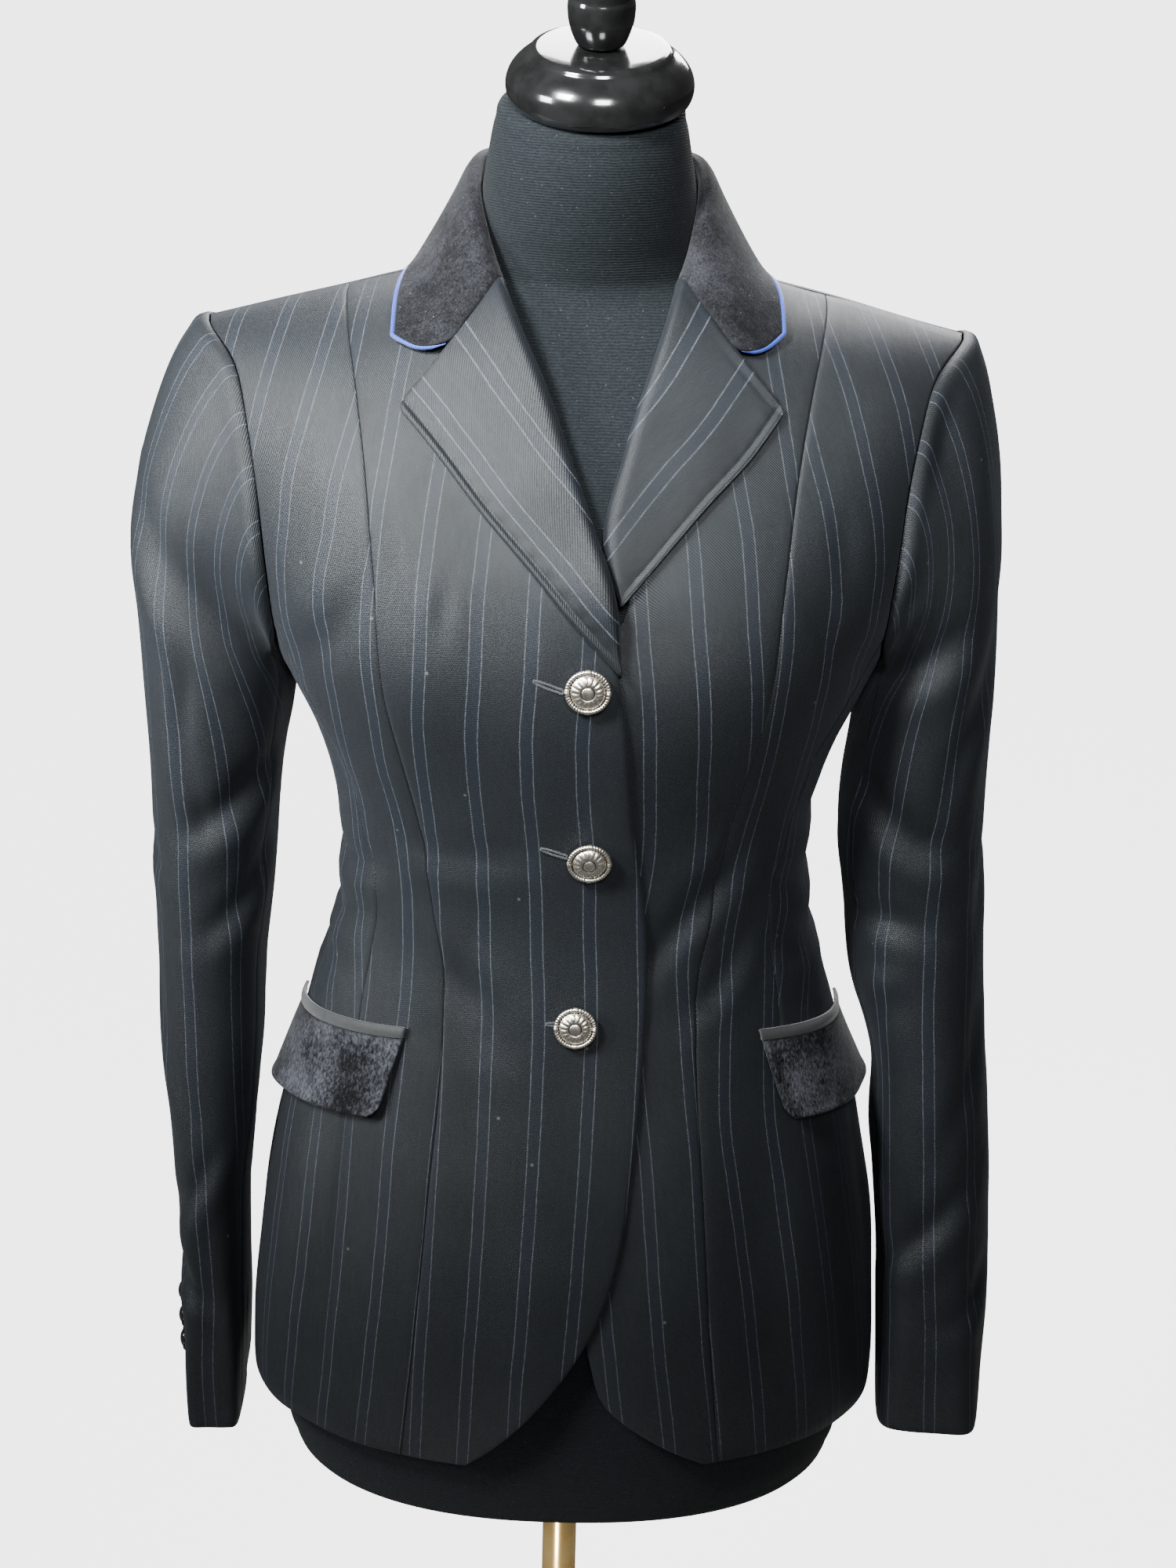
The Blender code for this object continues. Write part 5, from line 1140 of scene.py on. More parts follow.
def makeLapel(side, mirror):
    share = np.linspace(0, 1, lapels["rows"])[:, None]
    width = lapelWidth(side, share)[1]
    rolled = np.array(lapels["steps"]) * np.minimum(lapels["rollReach"], 0.34 * width)
    # Even steps across, and then close ones for the rolled edge
    close, end = np.array(lapels["closeSteps"]), rolled[:, -1:]
    tail = np.minimum(close, 0.5 * close / close[0] * (width - end))
    even = end + (width - tail[:, :1] - end) * np.linspace(0, 1, 20)[1:-1]
    steps = np.concatenate([rolled, even, width - tail], axis=1)
    points = lapelPoint(side, share, steps / width)
    normals = gridNormals(points)
    fromEdge = width - steps
    along = np.linalg.norm(points - points[-1:], axis=2)
    cords = (hump(far, lapels["cordAt"], lapels["cordWidth"]) for far in (fromEdge, along))
    lift = lapels["cord"] * np.maximum(*cords)
    for far in (fromEdge, along):
        lift = lift - lapels["groove"] * hump(far, lapels["grooveAt"], lapels["grooveWidth"])
    dimples = 0.5 + 0.5 * np.sin(share * 95.0)
    lift = lift - lapels["dimple"] * dimples * hump(fromEdge, lapels["dimpleAt"], lapels["dimpleWidth"])
    rough = unrest(fromEdge, share * 0.17, lapels["seed"][side], lapels["unevenness"])
    lift = (lift + rough * smoothStep(0.004, 0.016, fromEdge)) * np.minimum(1.0, width / 0.018)
    points = points + normals * lift[..., None]
    # The pointed corner is rounded
    pull = np.clip(lapels["round"] - np.minimum(along, 1) - fromEdge, 0, None) * 0.42
    points = points - unit(points[-1:, -1:] - points[-12:-11, -12:-11]) * pull[..., None]
    places = np.stack([fromEdge - lapels["stripeAt"][side], lengthAlong(points)], -1)
    grid = points, gridNormals(points), places, np.minimum(fromEdge, along)
    return clothShell("show_lapel_" + side, [grid], ["lapelWool", "lapelWool"], mirror)


print("collar and piping")
collar = {
    "lift": 0.0027, "bow": 0.0003, "fold": 0.0032, "wall": 0.002, "pipe": 0.0011, "lay": 0.0007, "sections": 66,
    "columns": 41, "notchGap": 0.0014, "fullness": 0.0007, "rimReach": 0.0007,
    "pipeGap": 0.0006, "pipeStart": 0.0024, "endBlend": 0.34,
    "fall": [1.0, 0.82, 0.6, 0.4, 0.2, 0.0],
    "right": ((0.0915, -0.053), 0.49), "left": ((0.0943, -0.047), 0.53),
}
# Share from front to back: middle of the fold, foot of the stand and outer edge
collarCurve = Curve(
    (0, 0.0425, -0.038, 1.379, 0.047, -0.0385, 0.0915, -0.053),
    (0.12, 0.05, -0.029, 1.395, 0.056, -0.029, 0.0915, -0.028),
    (0.28, 0.0578, -0.008, 1.415, 0.0655, -0.006, 0.0875, 0.005),
    (0.5, 0.0565, 0.024, 1.429, 0.0665, 0.028, 0.0775, 0.044),
    (0.75, 0.038, 0.055, 1.431, 0.044, 0.06, 0.05, 0.0775), (1, 0, 0.067, 1.4315, 0, 0.0745, 0, 0.09),
    (1.25, -0.038, 0.055, 1.431, -0.044, 0.06, -0.05, 0.0775),
)
upward = np.array([0.0, 0.0, 1.0])


def collarLines(share):
    row = collarCurve(share)
    roll = row[:, :3]
    edge, foot = overBody(row[:, 5], row[:, 6], collar["lift"]), overBody(row[:, 3], row[:, 4], collar["lay"])
    out = unit((edge - roll) * (1, 1, 0))
    out = np.where((share > 0.95)[:, None], np.array([0.0, 1.0, 0.0]), out)
    lean = unit(out + 0.8 * upward)
    start = roll + collar["fold"] * lean
    fall = [start + (edge - start) * t + 4 * t * (1 - t) * collar["bow"] * lean for t in collar["fall"]]
    crown = [roll + collar["fold"] * upward, roll - collar["fold"] * out]
    return np.stack(fall + crown + [foot - collar["wall"] * out], axis=1)


def collarEnd(side):
    corner, notch = collar[side]
    wall, lift = collar["wall"], collar["lift"]
    lifted = overBody(*corner, lift + wall)
    shares = np.array([notch, notch * 0.72, notch * 0.44, notch * 0.22, 0.045, 0.012, 0.0])
    top, below = lapelPoint(side, 1.0, shares), lapelPoint(side, 0.98, shares)
    across = lapelPoint(side, 1.0, shares + 0.004) - lapelPoint(side, 1.0, np.maximum(shares - 0.004, 0.0))
    normals = unit(np.cross(across, top - lapelPoint(side, 0.99, shares)))
    outer = top + unit(top - below) * collar["notchGap"]
    middle = (lifted + outer[0]) / 2
    outer = np.vstack([lifted, overBody(middle[0], middle[1], lift + wall), outer])
    normals = np.vstack([unit(lifted - overBody(*corner, 0.0)), normals[:1], normals])
    return outer, outer - wall * normals


def collarHalf(side):
    # Outer and inner lines of one half, from its front end to the middle of the back
    outerEnd, innerEnd = collarEnd(side)
    share = np.linspace(0, 1, collar["sections"]) ** 1.15
    first, lines = collarLines(np.zeros(1)), []
    for s in (share - 0.02, share, share + 0.02):
        fade = 1 - smoothStep(0.0, collar["endBlend"], s)
        lines.append(collarLines(np.clip(s, 0, 1.25)) + (innerEnd - first) * fade[:, None, None])
    line = lines[1]
    line[:, :6] = keptOff(line[:, :6], collar["lift"])
    line[:, -1:] = keptOff(line[:, -1:], collar["lay"])
    order = np.arange(line.shape[1])
    slope = line[:, np.minimum(order + 1, order[-1])] - line[:, np.maximum(order - 1, 0)]
    outer = line + collar["wall"] * unit(np.cross(lines[2] - lines[0], slope))
    outer[:, -1:] = keptOff(outer[:, -1:], collar["lay"])
    outer[0], line[0] = outerEnd, innerEnd
    # The first few sections run smoothly out of the front end
    for drawn in (outer, line):
        for i in range(1, 4):
            drawn[i] = (drawn[i] + drawn[0] + (drawn[4] - drawn[0]) * (share[i] / share[4])) / 2
    return outer, line


def finer(lines, count):
    # Each row of points drawn as a smooth line of more of them
    at = np.linspace(0, lines.shape[1] - 1, count)
    low = np.minimum(at.astype(int), lines.shape[1] - 2)
    slopes = np.gradient(lines, axis=1)
    return hermite(lines[:, low], slopes[:, low], lines[:, low + 1], slopes[:, low + 1], (at - low)[None, :, None])


def makeCollar():
    right, left = collarHalf("right"), collarHalf("left")
    outer, inner = (np.concatenate([a * (-1.0, 1.0, 1.0), b[-2::-1]]) for a, b in zip(right, left))
    path = makePipingPath(outer, inner)
    outer, inner = finer(outer, collar["columns"]), finer(inner, collar["columns"])
    fullness = np.sin(np.pi * np.clip(np.linspace(0, 1, collar["columns"]) / 0.62, 0, 1)) ** 0.7
    outer = outer + unit(outer - inner) * collar["fullness"] * fullness[None, :, None]
    grid, inner = (lines.transpose(1, 0, 2)[:, ::-1] for lines in (outer, inner))
    count = grid.shape[0] * grid.shape[1]
    index = np.arange(count).reshape(grid.shape[:2])
    loop = np.concatenate([index[0, :-1], index[:-1, -1], index[-1, :0:-1], index[:0:-1, 0]])
    points, backs = grid.reshape(-1, 3), inner.reshape(-1, 3)
    ahead = np.roll(points[loop], -1, axis=0) - np.roll(points[loop], 1, axis=0)
    out = unit(np.cross(ahead, (points - backs)[loop]))
    if np.mean(np.einsum("ij,ij->i", out, points[loop] - points.mean(axis=0))) < 0:
        out = -out
    layers = [points, backs]
    for turn in (math.pi / 4, math.pi / 2, math.pi * 3 / 4):
        middle = points[loop] + (backs - points)[loop] * (1 - math.cos(turn)) / 2
        layers.append(middle + out * collar["rimReach"] * math.sin(turn))
    rings = [loop] + [2 * count + k * len(loop) + np.arange(len(loop)) for k in range(3)] + [loop + count]
    quads = gridQuads(index)
    faces = [quads, quads[:, ::-1] + count]
    faces += [np.stack([np.roll(a, -1), a, b, np.roll(b, -1)], -1) for a, b in zip(rings, rings[1:])]
    edge = np.concatenate([np.tile(edgeDistance(grid).ravel(), 2), np.zeros(3 * len(loop))])
    made = makeMesh("show_collar", np.concatenate(layers), np.concatenate(faces).tolist(), ["velvet"], edge)
    faceOutward(made)
    return made, path


def faceOutward(piece):
    work = bmesh.new()
    work.from_mesh(piece.data)
    bmesh.ops.recalc_face_normals(work, faces=work.faces)
    if work.calc_volume(signed=True) < 0:
        bmesh.ops.reverse_faces(work, faces=work.faces)
    work.to_mesh(piece.data)
    work.free()


def makePipingPath(outer, inner):
    # Up one front end, along the collar's outer edge and down the other end
    line, above = (
        np.vstack([rows[0, 2], rows[0, 1], rows[:, 0], rows[-1, 1], rows[-1, 2]])
        for rows in ((outer + inner) / 2, outer - inner)
    )
    ahead = np.diff(line, axis=0)
    before, after = np.vstack([ahead[:1], ahead]), np.vstack([ahead, ahead[-1:]])
    outs = unit(np.cross(unit(above), unit(before))), unit(np.cross(unit(above), unit(after)))
    mitre = unit(outs[0] + outs[1])
    share = np.maximum(np.einsum("ij,ij->i", mitre, outs[0]), 0.5)
    path = line + mitre * ((collar["pipe"] + collar["pipeGap"]) / share)[:, None]
    for end, beside in ((0, 1), (-1, -2)):
        path[end] -= unit(path[end] - path[beside]) * collar["pipeStart"]
    return path


def tube(name, path, radius, sides, slot, ripple=0.0, waves=0.0):
    along = unit(np.gradient(path, axis=0))
    side = unit(np.cross(along, upward))
    up = np.cross(side, along)
    run = lengthAlong(path)
    turn = np.linspace(0, 2 * math.pi, sides, endpoint=False)
    far = np.minimum(run, run[-1] - run) / radius
    ends = np.where(far > 1, 1.0, np.sqrt(np.clip(far * (2 - far), 0.04, 1)))
    thick = radius * ends[:, None] * (1 + ripple * np.sin(turn[None] * 2 + run[:, None] * waves))
    ring = np.cos(turn)[None, :, None] * side[:, None] + np.sin(turn)[None, :, None] * up[:, None]
    points = (path[:, None] + thick[..., None] * ring).reshape(-1, 3)
    last = (len(path) - 1) * sides
    faces = ringFaces(len(path), sides, turned=True)
    faces += [tuple(range(sides)), tuple(last + k for k in reversed(range(sides)))]
    uv = np.stack(np.broadcast_arrays(turn[None] * radius, run[:, None]), -1).reshape(-1, 2)
    made = makeMesh(name, points, faces, [slot], uvs=uv)
    faceOutward(made)
    return made


def rounded(path, rounds=2):
    # Corners cut again and again, with the ends kept
    for _ in range(rounds):
        near, far = path[:-1] * 0.75 + path[1:] * 0.25, path[:-1] * 0.25 + path[1:] * 0.75
        path = np.vstack([path[:1], np.stack([near, far], 1).reshape(-1, path.shape[1])[1:-1], path[-1:]])
    return path


print("pockets")
pockets = {
    "right": (35.3, 93.0), "left": (42.2, 97.0), "topFront": 0.9985, "topBack": 0.979, "weltHeight": 0.0068,
    "flapHeight": 0.045, "length": 0.11, "standOff": (0.003, 0.0055), "sweep": 2.0, "lay": 0.0007,
    "gap": 0.0003, "weltLift": 0.0002, "weltBow": 0.0006, "flapBow": 0.0012, "flapWave": 0.0007, "cornerRound": 0.007,
}


def pocketPoints(side, downs, across, rises):
    front, back = pockets[side]
    down, u = np.meshgrid(downs, across, indexing="ij")
    sweep = pockets["sweep"] * np.maximum(down - pockets["weltHeight"], 0.0) / pockets["flapHeight"]
    angle = front + (back - front) * u + sweep
    level = pockets["topFront"] + (pockets["topBack"] - pockets["topFront"]) * u - down
    return offBody(angle, level, rises(u, down) + heightOver(angle, level, side))


def pocketPiece(name, points, run, slots, mirror):
    places = np.stack([np.broadcast_to(run * pockets["length"], points.shape[:2]), lengthAlong(points)], -1)
    grid = pulledIn(points, cloth["rimReach"]), gridNormals(points), places, edgeDistance(points)
    return clothShell(name, [grid], slots, mirror)


def makePocket(side, mirror):
    lay = coat["wall"] + pockets["lay"]
    across = np.linspace(0, 1, 60)
    downs = np.linspace(pockets["weltHeight"], 0.0, 11)

    def weltRise(u, down):
        return lay + pockets["weltLift"] + pockets["weltBow"] * np.sin(np.pi * down / pockets["weltHeight"])

    points = pocketPoints(side, downs, across, weltRise)
    welt = pocketPiece("show_welt_" + side, points, across, ["welt", "welt"], mirror)

    top = pockets["weltHeight"] + pockets["gap"]
    downs = top + pockets["flapHeight"] * np.linspace(1, 0, 34)
    front, back = pockets["standOff"]

    def flapRise(u, down):
        # The flap stands off and bows, with a ridge inside its front and lower edges
        share = np.clip((down - top) / pockets["flapHeight"], 0, 1)
        bowed = (pockets["flapBow"] * np.sin(np.pi * u) + pockets["flapWave"] * np.sin(u * 9.0 + 1.0)) * share
        run = u * pockets["length"]
        ridge = 0.0009 * hump(run, 0.0022, 0.002) - 0.0005 * hump(run, 0.006, 0.0016)
        ridge = ridge + 0.0006 * hump(pockets["flapHeight"] * (1 - share), 0.0018, 0.0018)
        return lay + (front + (back - front) * u) * share**1.3 + bowed + ridge

    across = np.sort(np.concatenate([across, [0.008, 0.026, 0.992]]))
    points = pocketPoints(side, downs, across, flapRise)
    # The lower front corner is rounded
    run = np.linalg.norm(points - points[:, :1], axis=2) + np.linalg.norm(points - points[:1], axis=2)
    pull = np.clip(pockets["cornerRound"] - run, 0, None) * 0.4
    points = points + unit(points[6:7, 6:7] - points[:1, :1]) * pull[..., None]
    run = np.linspace(0, 1, len(across))
    return welt, pocketPiece("show_flap_" + side, points, run, ["flapVelvet", "lining"], mirror)


print("buttons and buttonholes")
buttons = {
    # Across, level, and how much nearer to the cloth or further from it
    "front": [(0.0054, 1.2027, -0.0003), (0.008, 1.106, 0.0003), (0.003, 1.009, 0.0003)],
    "radius": 0.0115, "height": 0.0048, "shank": 0.003, "shankHeight": 0.0022, "rope": 0.00115, "ropeTurns": 44,
    "cuffRadius": 0.0076, "cuffHeight": 0.0072, "cuffPitch": 0.0162, "cuffLowest": 0.745,
    "cuffRound": {"right": 0.988, "left": 0.83}, "petals": 16, "petalRise": 0.00038, "beads": 36,
    "beadRise": 0.0003, "gap": 0.0003,
    "rimRows": 360, "rimSides": 14,
    # Profiles: shares of the radius, and height in millimetres or as a share
    "dome": [
        (0.8, 1.9), (0.74, 2.1), (0.66, 3.2), (0.5, 4.1), (0.34, 4.3), (0.29, 3.9), (0.24, 4.4), (0.12, 4.75),
    ],
    "cuffProfile": [
        (0, 0), (0.34, 0), (0.32, 0.34), (0.6, 0.38), (0.9, 0.42), (0.98, 0.48), (1, 0.56), (0.98, 0.64),
        (0.88, 0.72), (0.8, 0.74), (0.74, 0.7), (0.68, 0.74), (0.52, 0.88), (0.28, 0.97), (0, 1),
    ],
    # Buttonholes of the right front: both ends across, and then both levels
    "holes": [
        (-0.0205, -0.006, 1.206, 1.201), (-0.016, -0.003, 1.1112, 1.1068), (-0.012, 0.012, 1.0094, 1.0094),
    ],
}


def placeAt(point, direction):
    turn = Vector(direction).to_track_quat("Z", "Y").to_matrix().to_4x4()
    return Matrix.Translation(Vector(point)) @ turn


def onPlace(points, place):
    matrix = np.array(place)
    return points @ matrix[:3, :3].T + matrix[:3, 3]


def scaledPairs(pairs, wide, high, base=0.0):
    return [(a * wide, base + b * high) for a, b in pairs]


def lathe(name, profile, sides, place, slots, rounds=2, relief=None, isDark=None):
    # A turned piece from radius and height pairs, from its axis to its axis
    profile = rounded(np.array(profile, float), rounds)
    turn = np.linspace(0, 2 * math.pi, sides, endpoint=False)
    middle = profile[1:-1]
    radius, height = (np.repeat(middle[:, i : i + 1], sides, 1) for i in (0, 1))
    if relief is not None:
        height = relief(radius, height, turn[None])
    points = np.stack([radius * np.cos(turn), radius * np.sin(turn), height], -1).reshape(-1, 3)
    points = np.vstack([points, [0, 0, profile[0, 1]], [0, 0, profile[-1, 1]]])
    rows, low, high = len(middle), len(points) - 2, len(points) - 1
    last = (rows - 1) * sides
    faces = ringFaces(rows, sides)
    faces += [(low, (k + 1) % sides, k) for k in range(sides)]
    faces += [(high, last + k, last + (k + 1) % sides) for k in range(sides)]
    faceSlots = None
    if isDark is not None:
        faceSlots = np.repeat([isDark(r) for r in middle[:-1, 0]] + [1, 0], sides)
    made = makeMesh(name, onPlace(points, place), faces, slots, faceSlots=faceSlots)
    faceOutward(made)
    return made


def makeFrontButton(number, across, level, off):
    angle = bodyAngle(across, level)
    normal = bodyNormal(angle, level)
    place = placeAt(offBody(angle, level, lapRise(-across, level) + buttons["gap"] + off), normal)
    base, r, shank, rope = (buttons[key] for key in ("shankHeight", "radius", "shank", "rope"))
    profile = [(0, 0), (shank, 0), (shank, base), (r - 0.0016, base), (r - 0.0004, base + 0.0007)]
    profile += [(r - 0.0012, base + 0.0022)] + scaledPairs(buttons["dome"], r, 0.001, base)
    profile += [(0, base + buttons["height"])]

    def petals(radius, height, turn):
        # A plain ring of petals on the dome, and beads round its middle
        share, front = radius / r, height > base + 0.001
        on = smoothStep(0.36, 0.46, share) * (1 - smoothStep(0.66, 0.73, share)) * front
        height = height + on * buttons["petalRise"] * (np.abs(np.sin(turn * buttons["petals"] / 2)) - 0.6)
        return height + hump(share, 0.775, 0.028) * front * buttons["beadRise"] * np.sin(turn * buttons["beads"])

    def isDark(radius):
        return int(0.735 < radius / r < 0.85 or 0.27 < radius / r < 0.32)

    dome = lathe("show_button_%d" % number, profile, 144, place, ["silver", "silverDark"], 2, petals, isDark)
    # The twisted rim, and four bindings round it
    rows, sides = buttons["rimRows"], buttons["rimSides"]
    turn = np.linspace(0, 2 * math.pi, rows, endpoint=False)[:, None]
    around = np.linspace(0, 2 * math.pi, sides, endpoint=False)[None]
    twist = np.abs(np.sin((turn * buttons["ropeTurns"] + around) / 2)) ** 0.6
    bound = np.exp(-(((turn + math.pi / 4) % (math.pi / 2) - math.pi / 4) / 0.115) ** 4)
    ribs = 0.92 + 0.1 * np.abs(np.sin(turn * 60))
    thick = rope * ((0.8 + 0.24 * twist) * (1 - bound) + 1.22 * ribs * bound)
    reach = r - rope * 1.22 + thick * np.cos(around)
    points = np.stack([reach * np.cos(turn), reach * np.sin(turn), base + 0.0017 + thick * np.sin(around)], -1)
    faces = ringFaces(rows, sides, turned=True, closed=True)
    rim = makeMesh("show_button_rim_%d" % number, onPlace(points.reshape(-1, 3), place), faces, ["silver"])
    faceOutward(rim)
    declare(dome, "front_button_%d" % number, "silver")


def makeCuffButtons(side, mirror):
    turned, points, normals, _ = sleevePoints(side)
    column = int(np.argmin(np.abs(1 - turned - buttons["cuffRound"][side])))
    line, out = points[:, column], normals[:, column]
    flip = (-1, 1, 1) if mirror else (1, 1, 1)
    profile = scaledPairs(buttons["cuffProfile"], buttons["cuffRadius"], buttons["cuffHeight"])
    for number in range(3):
        height = buttons["cuffLowest"] + number * buttons["cuffPitch"]
        row = int(np.argmin(np.abs(line[: sleeves["rows"], 2] - height)))
        foot = line[row] + np.array([0, 0, height - line[row, 2]]) + out[row] * 0.0004
        name = "cuff_button_%s_%d" % (side, number + 1)
        declare(lathe("show_" + name, profile, 64, placeAt(foot * flip, out[row] * flip), ["glossy"]), name, "glossy")


def makeButtonhole(number, start, end, startLevel, endLevel):
    # A raised ring of close stitches, with a round eye at its outer end
    t = np.linspace(0, 2 * math.pi, 161)
    length = end - start
    x = (start + end) / 2 + length / 2 * np.clip(np.cos(t) * 1.06, -1, 1)
    share = (x - start) / length
    half = 0.0011 + 0.0006 * hump(share, 0.93, 0.08)
    level = startLevel + (endLevel - startLevel) * share + half * np.sin(t)
    path = offBody(bodyAngle(x, level), level, lapRise(-x, level) + 0.00035)
    path[-1] = path[0]
    run = lengthAlong(path)
    path = np.stack([np.interp(np.linspace(0, run[-1], 260), run, path[:, i]) for i in range(3)], -1)
    tube("show_buttonhole_%d" % number, path, 0.00062, 8, "thread", 0.16, 9000.0)


print("dress form and stand")
# Height, half width, reach forward, reach back, and tilt of the section in degrees
formCurve = Curve(
    (0.684, 0.14, 0.085, 0.095, 0), (0.69, 0.1545, 0.097, 0.107, 0), (0.704, 0.163, 0.106, 0.116, 0),
    (0.73, 0.1675, 0.112, 0.122, 0), (0.79, 0.17, 0.117, 0.123, 0), (0.86, 0.166, 0.114, 0.125, 0),
    (0.93, 0.151, 0.103, 0.11, 0), (1, 0.133, 0.094, 0.09, 0), (1.06, 0.1215, 0.091, 0.076, 0),
    (1.1, 0.1215, 0.096, 0.074, 0), (1.15, 0.131, 0.109, 0.084, 0), (1.2, 0.145, 0.118, 0.096, 0),
    (1.25, 0.154, 0.115, 0.103, 0), (1.29, 0.157, 0.103, 0.1015, 0), (1.32, 0.158, 0.086, 0.0915, 0),
    (1.342, 0.154, 0.066, 0.077, 0), (1.354, 0.14, 0.052, 0.0655, 0), (1.362, 0.116, 0.042, 0.056, 0),
    (1.3685, 0.086, 0.037, 0.05, 0), (1.376, 0.0635, 0.035, 0.048, 0), (1.388, 0.056, 0.038, 0.053, 2),
    (1.407, 0.0545, 0.044, 0.053, 6), (1.425, 0.0528, 0.048, 0.049, 10), (1.442, 0.05, 0.05, 0.043, 14),
    (1.4575, 0.0468, 0.049, 0.038, 16.5), (1.4646, 0.044, 0.046, 0.035, 16.5), (1.4666, 0.0405, 0.042, 0.031, 16.5),
)
form = {
    "foot": 0.684, "sides": 144, "stepsBetween": 5, "capTilt": 16.5, "capAt": (0.004, -0.0065, 1.465),
    "poleRadius": 0.0105, "baseHeight": 0.026, "gap": 0.0003,
    # Profiles as radius and height in millimetres
    "cap": [
        (0, 0), (42.5, 0), (44.6, 1.5), (46.2, 6), (46, 11), (43.8, 16), (39.5, 20.5), (35.5, 23), (34.5, 25),
        (32.5, 26.5), (0, 27),
    ],
    "finial": [
        (0, 0), (11.2, 0), (13, 3), (15.2, 8.5), (16.4, 15), (16.4, 21.5), (15, 23.8), (15.4, 26.2), (15, 29),
        (12.5, 30.2), (12.7, 33.5), (8.5, 35), (6.2, 38.5), (7.2, 43), (9.8, 49), (9.2, 55.5), (5.8, 61), (0, 64),
    ],
    "base": [
        (0, 0), (178, 0), (180, 2), (180, 10.5), (177, 14.5), (169, 16), (165, 18), (60, 21), (31, 23.5), (30, 26),
        (0, 26),
    ],
}


def makeDressForm():
    heights = fine(formCurve.rows[:, 0], form["stepsBetween"])
    half, front, back, tilt = np.moveaxis(formCurve(heights)[:, None], -1, 0)
    turn = np.linspace(0, 2 * math.pi, form["sides"], endpoint=False)[None]
    c, s = squared(turn, np.where(heights < 1.33, 2.3, 2.0)[:, None])
    y = (back - front) / 2 - (back + front) / 2 * c
    points = np.stack([half * s, y, heights[:, None] + y * np.tan(np.radians(tilt))], -1)
    rows, sides = points.shape[:2]
    faces = ringFaces(rows, sides)
    faces += [tuple(reversed(range(sides))), tuple(range((rows - 1) * sides, rows * sides))]
    declare(makeMesh("show_dress_form", points.reshape(-1, 3), faces, ["jersey"]), "dress_form", "jersey")


def makeStand():
    place = Matrix.Translation(form["capAt"]) @ Matrix.Rotation(math.radians(form["capTilt"]), 4, "X")
    above, ground = place @ Matrix.Translation((0, 0, 0.0273)), Matrix.Identity(4)
    low, top, r = form["baseHeight"] + form["gap"], form["foot"] - form["gap"], form["poleRadius"]
    pole = [(0, low), (r - 0.0006, low), (r, low + 0.0006), (r, top - 0.0006), (r - 0.0006, top), (0, top)]
    cap, finial, base = (scaledPairs(form[key], 0.001, 0.001) for key in ("cap", "finial", "base"))
    for name, profile, sides, at, slot, rounds in (
        ("neck_cap", cap, 160, place, "lacquer", 2), ("finial", finial, 96, above, "lacquer", 2),
        ("pole", pole, 64, ground, "brass", 1), ("base", base, 192, ground, "painted", 1),
    ):
        declare(lathe("show_" + name, profile, sides, at, [slot], rounds), name, slot)


print("making the pieces")
# Each cut's width and length, and its area where it isn't the whole of that
flats = {
    "front_right": ((0.175, 0.66), 0.07), "front_left": ((0.15, 0.66), 0.056),
    "side": ((0.24, 0.65), 0.118), "back_right": ((0.215, 0.65), 0.094),
    "back_left": ((0.25, 0.65), 0.102), "top_sleeve": ((0.23, 0.67), 0.116),
    "under_sleeve": ((0.13, 0.55), 0.043), "lapel_right": ((0.095, 0.2), 0.01),
    "lapel_left": ((0.09, 0.17), 0.0082), "collar": ((0.095, 0.48), 0.041),
    "welt": ((0.01, 0.108), 0.0009), "flap": ((0.056, 0.112), 0.006),
}
for side, edge, mirror in (("right", rightEdge, True), ("left", leftEdge, False)):
    made = [
        makeFront(side, edge, mirror), makeSide(side, mirror), makeBack(side, mirror), *makeSleeve(side, mirror),
        makeLapel(side, mirror), *makePocket(side, mirror),
    ]
    # Node, slot, how it is held, what it rests on, and its cut
    for piece, (node, slot, held, under, flat) in zip(made, (
        ("front_", "twill", "hung", "dress_form", "front_" + side),
        ("side_", "twill", "hung", "dress_form", "side"),
        ("back_", "twill", "hung", "dress_form", "back_" + side),
        ("top_sleeve_", "twill", "hung", "side_" + side, "top_sleeve"),
        ("under_sleeve_", "twill", "hung", "side_" + side, "under_sleeve"),
        ("lapel_", "twill", "folded", "front_" + side, "lapel_" + side),
        ("pocket_welt_", "welt", "laid", "side_" + side, "welt"),
        ("pocket_flap_", "velvet", "hung", "welt_" + side, "flap"),
    )):
        declareCloth(piece, node + side, slot, held, ["show_" + under], *flats[flat])
    makeCuffButtons(side, mirror)
collarPiece, pipingPath = makeCollar()
declareCloth(collarPiece, "collar", "velvet", "folded", ["show_lapel_right", "show_lapel_left"], *flats["collar"])
cord = tube("show_collar_piping", rounded(pipingPath, 2), collar["pipe"], 14, "piping", 0.05, 2500.0)
declare(cord, "collar_piping", "piping")
for number, values in enumerate(buttons["front"]):
    makeFrontButton(number + 1, *values)
for number, values in enumerate(buttons["holes"]):
    makeButtonhole(number + 1, *values)
makeDressForm()
makeStand()


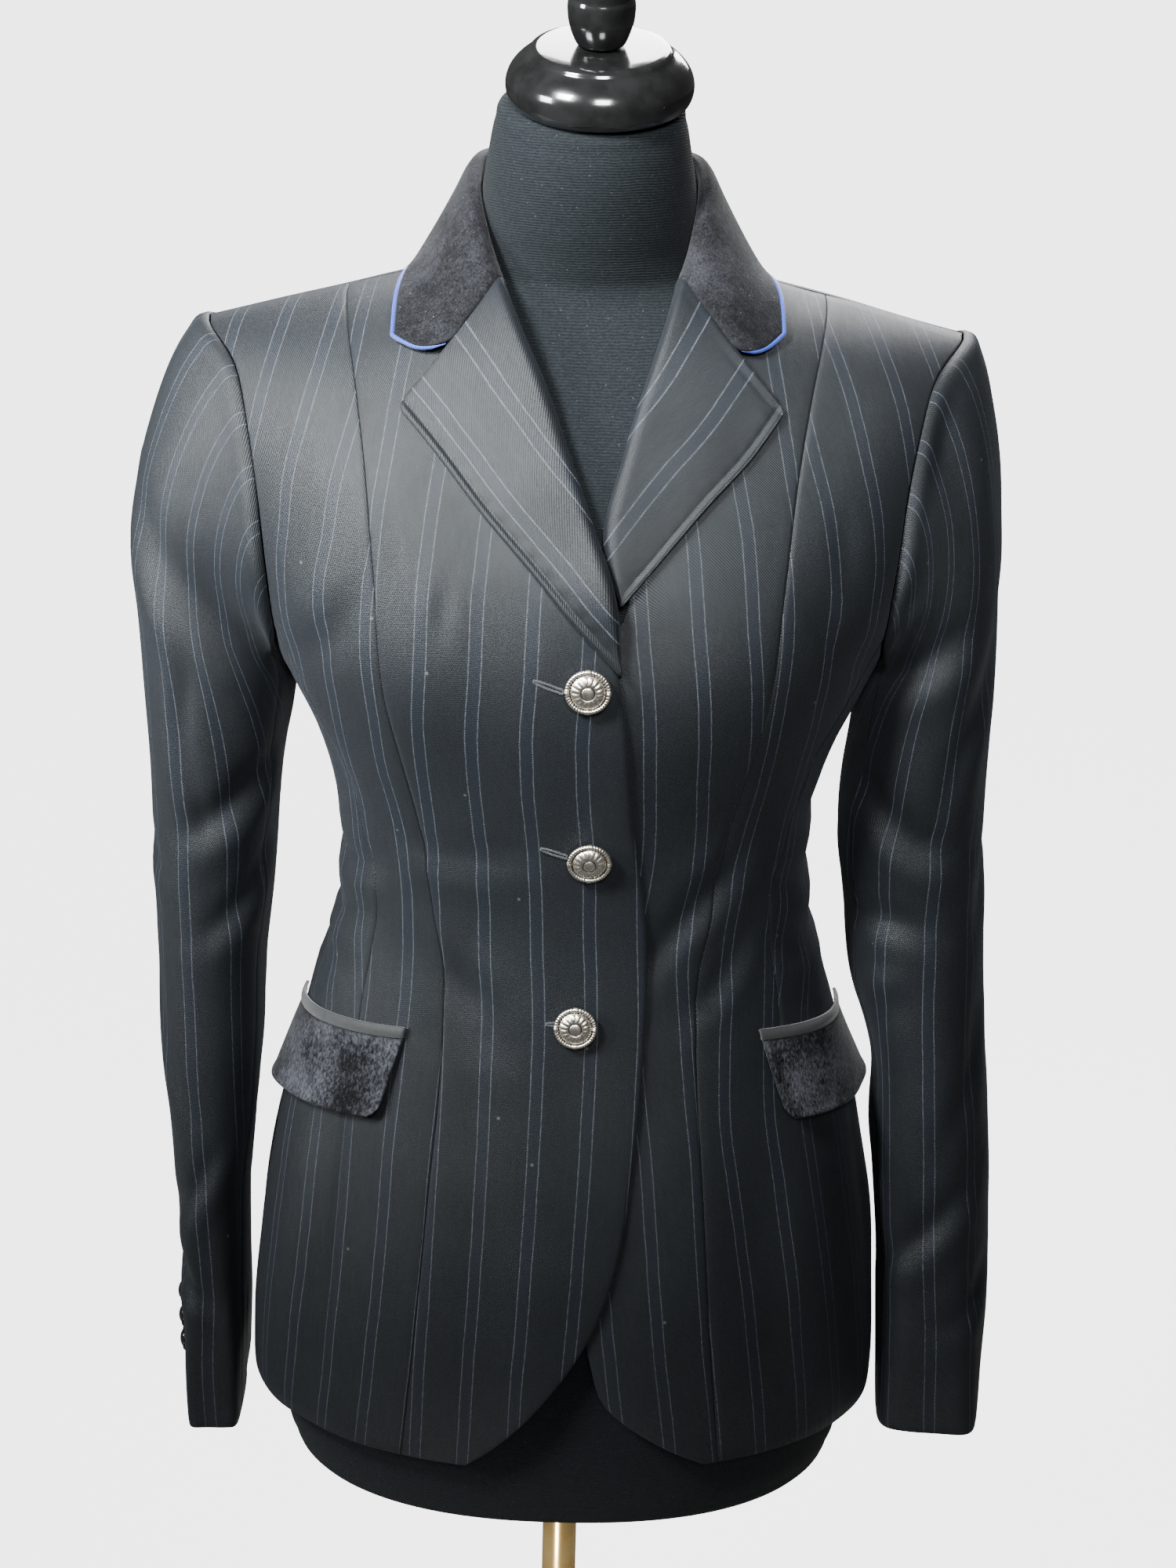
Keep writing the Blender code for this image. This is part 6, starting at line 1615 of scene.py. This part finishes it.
print("floor and light")
studio = {
    "floor": 160.0, "floorColour": (0.42, 0.42, 0.415), "backdrop": (0.93, 0.935, 0.93, 1.0), "glow": 4.1,
    "ambient": 0.075,
    # Place, aim, size, power, spread in degrees and warmth of each soft light
    "lamps": [
        ((-0.78, -0.85, 2.2), (-0.15, -0.04, 1.41), 0.36, 6.4, 43.0, (0.95, 0.985, 1.0)),
        ((-1.7, -0.8, 1.9), (-0.2, 0.0, 1.36), 0.5, 4.4, 44.0, (0.94, 0.98, 1.0)),
        ((0.12, -1.6, 2.25), (0.02, -0.08, 1.42), 0.45, 2.6, 33.0, (0.97, 0.99, 1.0)),
        ((0.3, 1.6, 2.3), (0.0, 0.0, 1.15), 1.0, 24.0, 120.0, (1.0, 1.0, 1.0)),
        ((-0.25, -1.0, 0.35), (0.0, 0.0, 0.47), 0.15, 0.75, 40.0, (1.0, 0.97, 0.92)),
    ],
}


def makeStudio(values):
    made = Finish("paleFloor", Roughness=0.9)
    place = made.place("object")
    pale = values["floorColour"]
    made.painted(made.mixed(noise(made.tree, place, None, 3.0, 2.0), pale, tuple(c * 1.02 for c in pale)))
    # Seen by the camera the floor glows a little, so that it stays pale without lighting the coat
    seen = Amount(made.tree, made.tree.nodes.new("ShaderNodeLightPath").outputs["Is Camera Ray"])
    plug(made.tree, values["backdrop"], made.shader.inputs["Emission Color"])
    plug(made.tree, seen * values["glow"], made.shader.inputs["Emission Strength"])
    work = bmesh.new()
    bmesh.ops.create_grid(work, x_segments=8, y_segments=8, size=values["floor"] / 2)
    mesh = bpy.data.meshes.new("floor")
    work.to_mesh(mesh)
    work.free()
    mesh.materials.append(materials["paleFloor"])
    floor = bpy.data.objects.new("floor", mesh)
    floor.location = (0, 0, -0.0005)
    bpy.context.scene.collection.objects.link(floor)
    world = bpy.data.worlds.new("studio")
    world.use_nodes = True
    tree = world.node_tree
    plug(tree, (1.0, 1.0, 1.0, 1.0), tree.nodes["Background"].inputs["Color"])
    seen = Amount(tree, tree.nodes.new("ShaderNodeLightPath").outputs["Is Camera Ray"])
    plug(tree, seen * values["glow"] + values["ambient"], tree.nodes["Background"].inputs["Strength"])
    bpy.context.scene.world = world
    for number, (place, aim, size, power, spread, colour) in enumerate(values["lamps"]):
        data = bpy.data.lights.new("lamp_%d" % number, "AREA")
        data.size, data.energy, data.spread, data.color = size, power, math.radians(spread), colour
        lamp = bpy.data.objects.new("lamp_%d" % number, data)
        lamp.location = place
        lamp.rotation_euler = (Vector(aim) - Vector(place)).to_track_quat("-Z", "Y").to_euler()
        bpy.context.scene.collection.objects.link(lamp)


makeStudio(studio)

print("finishing")
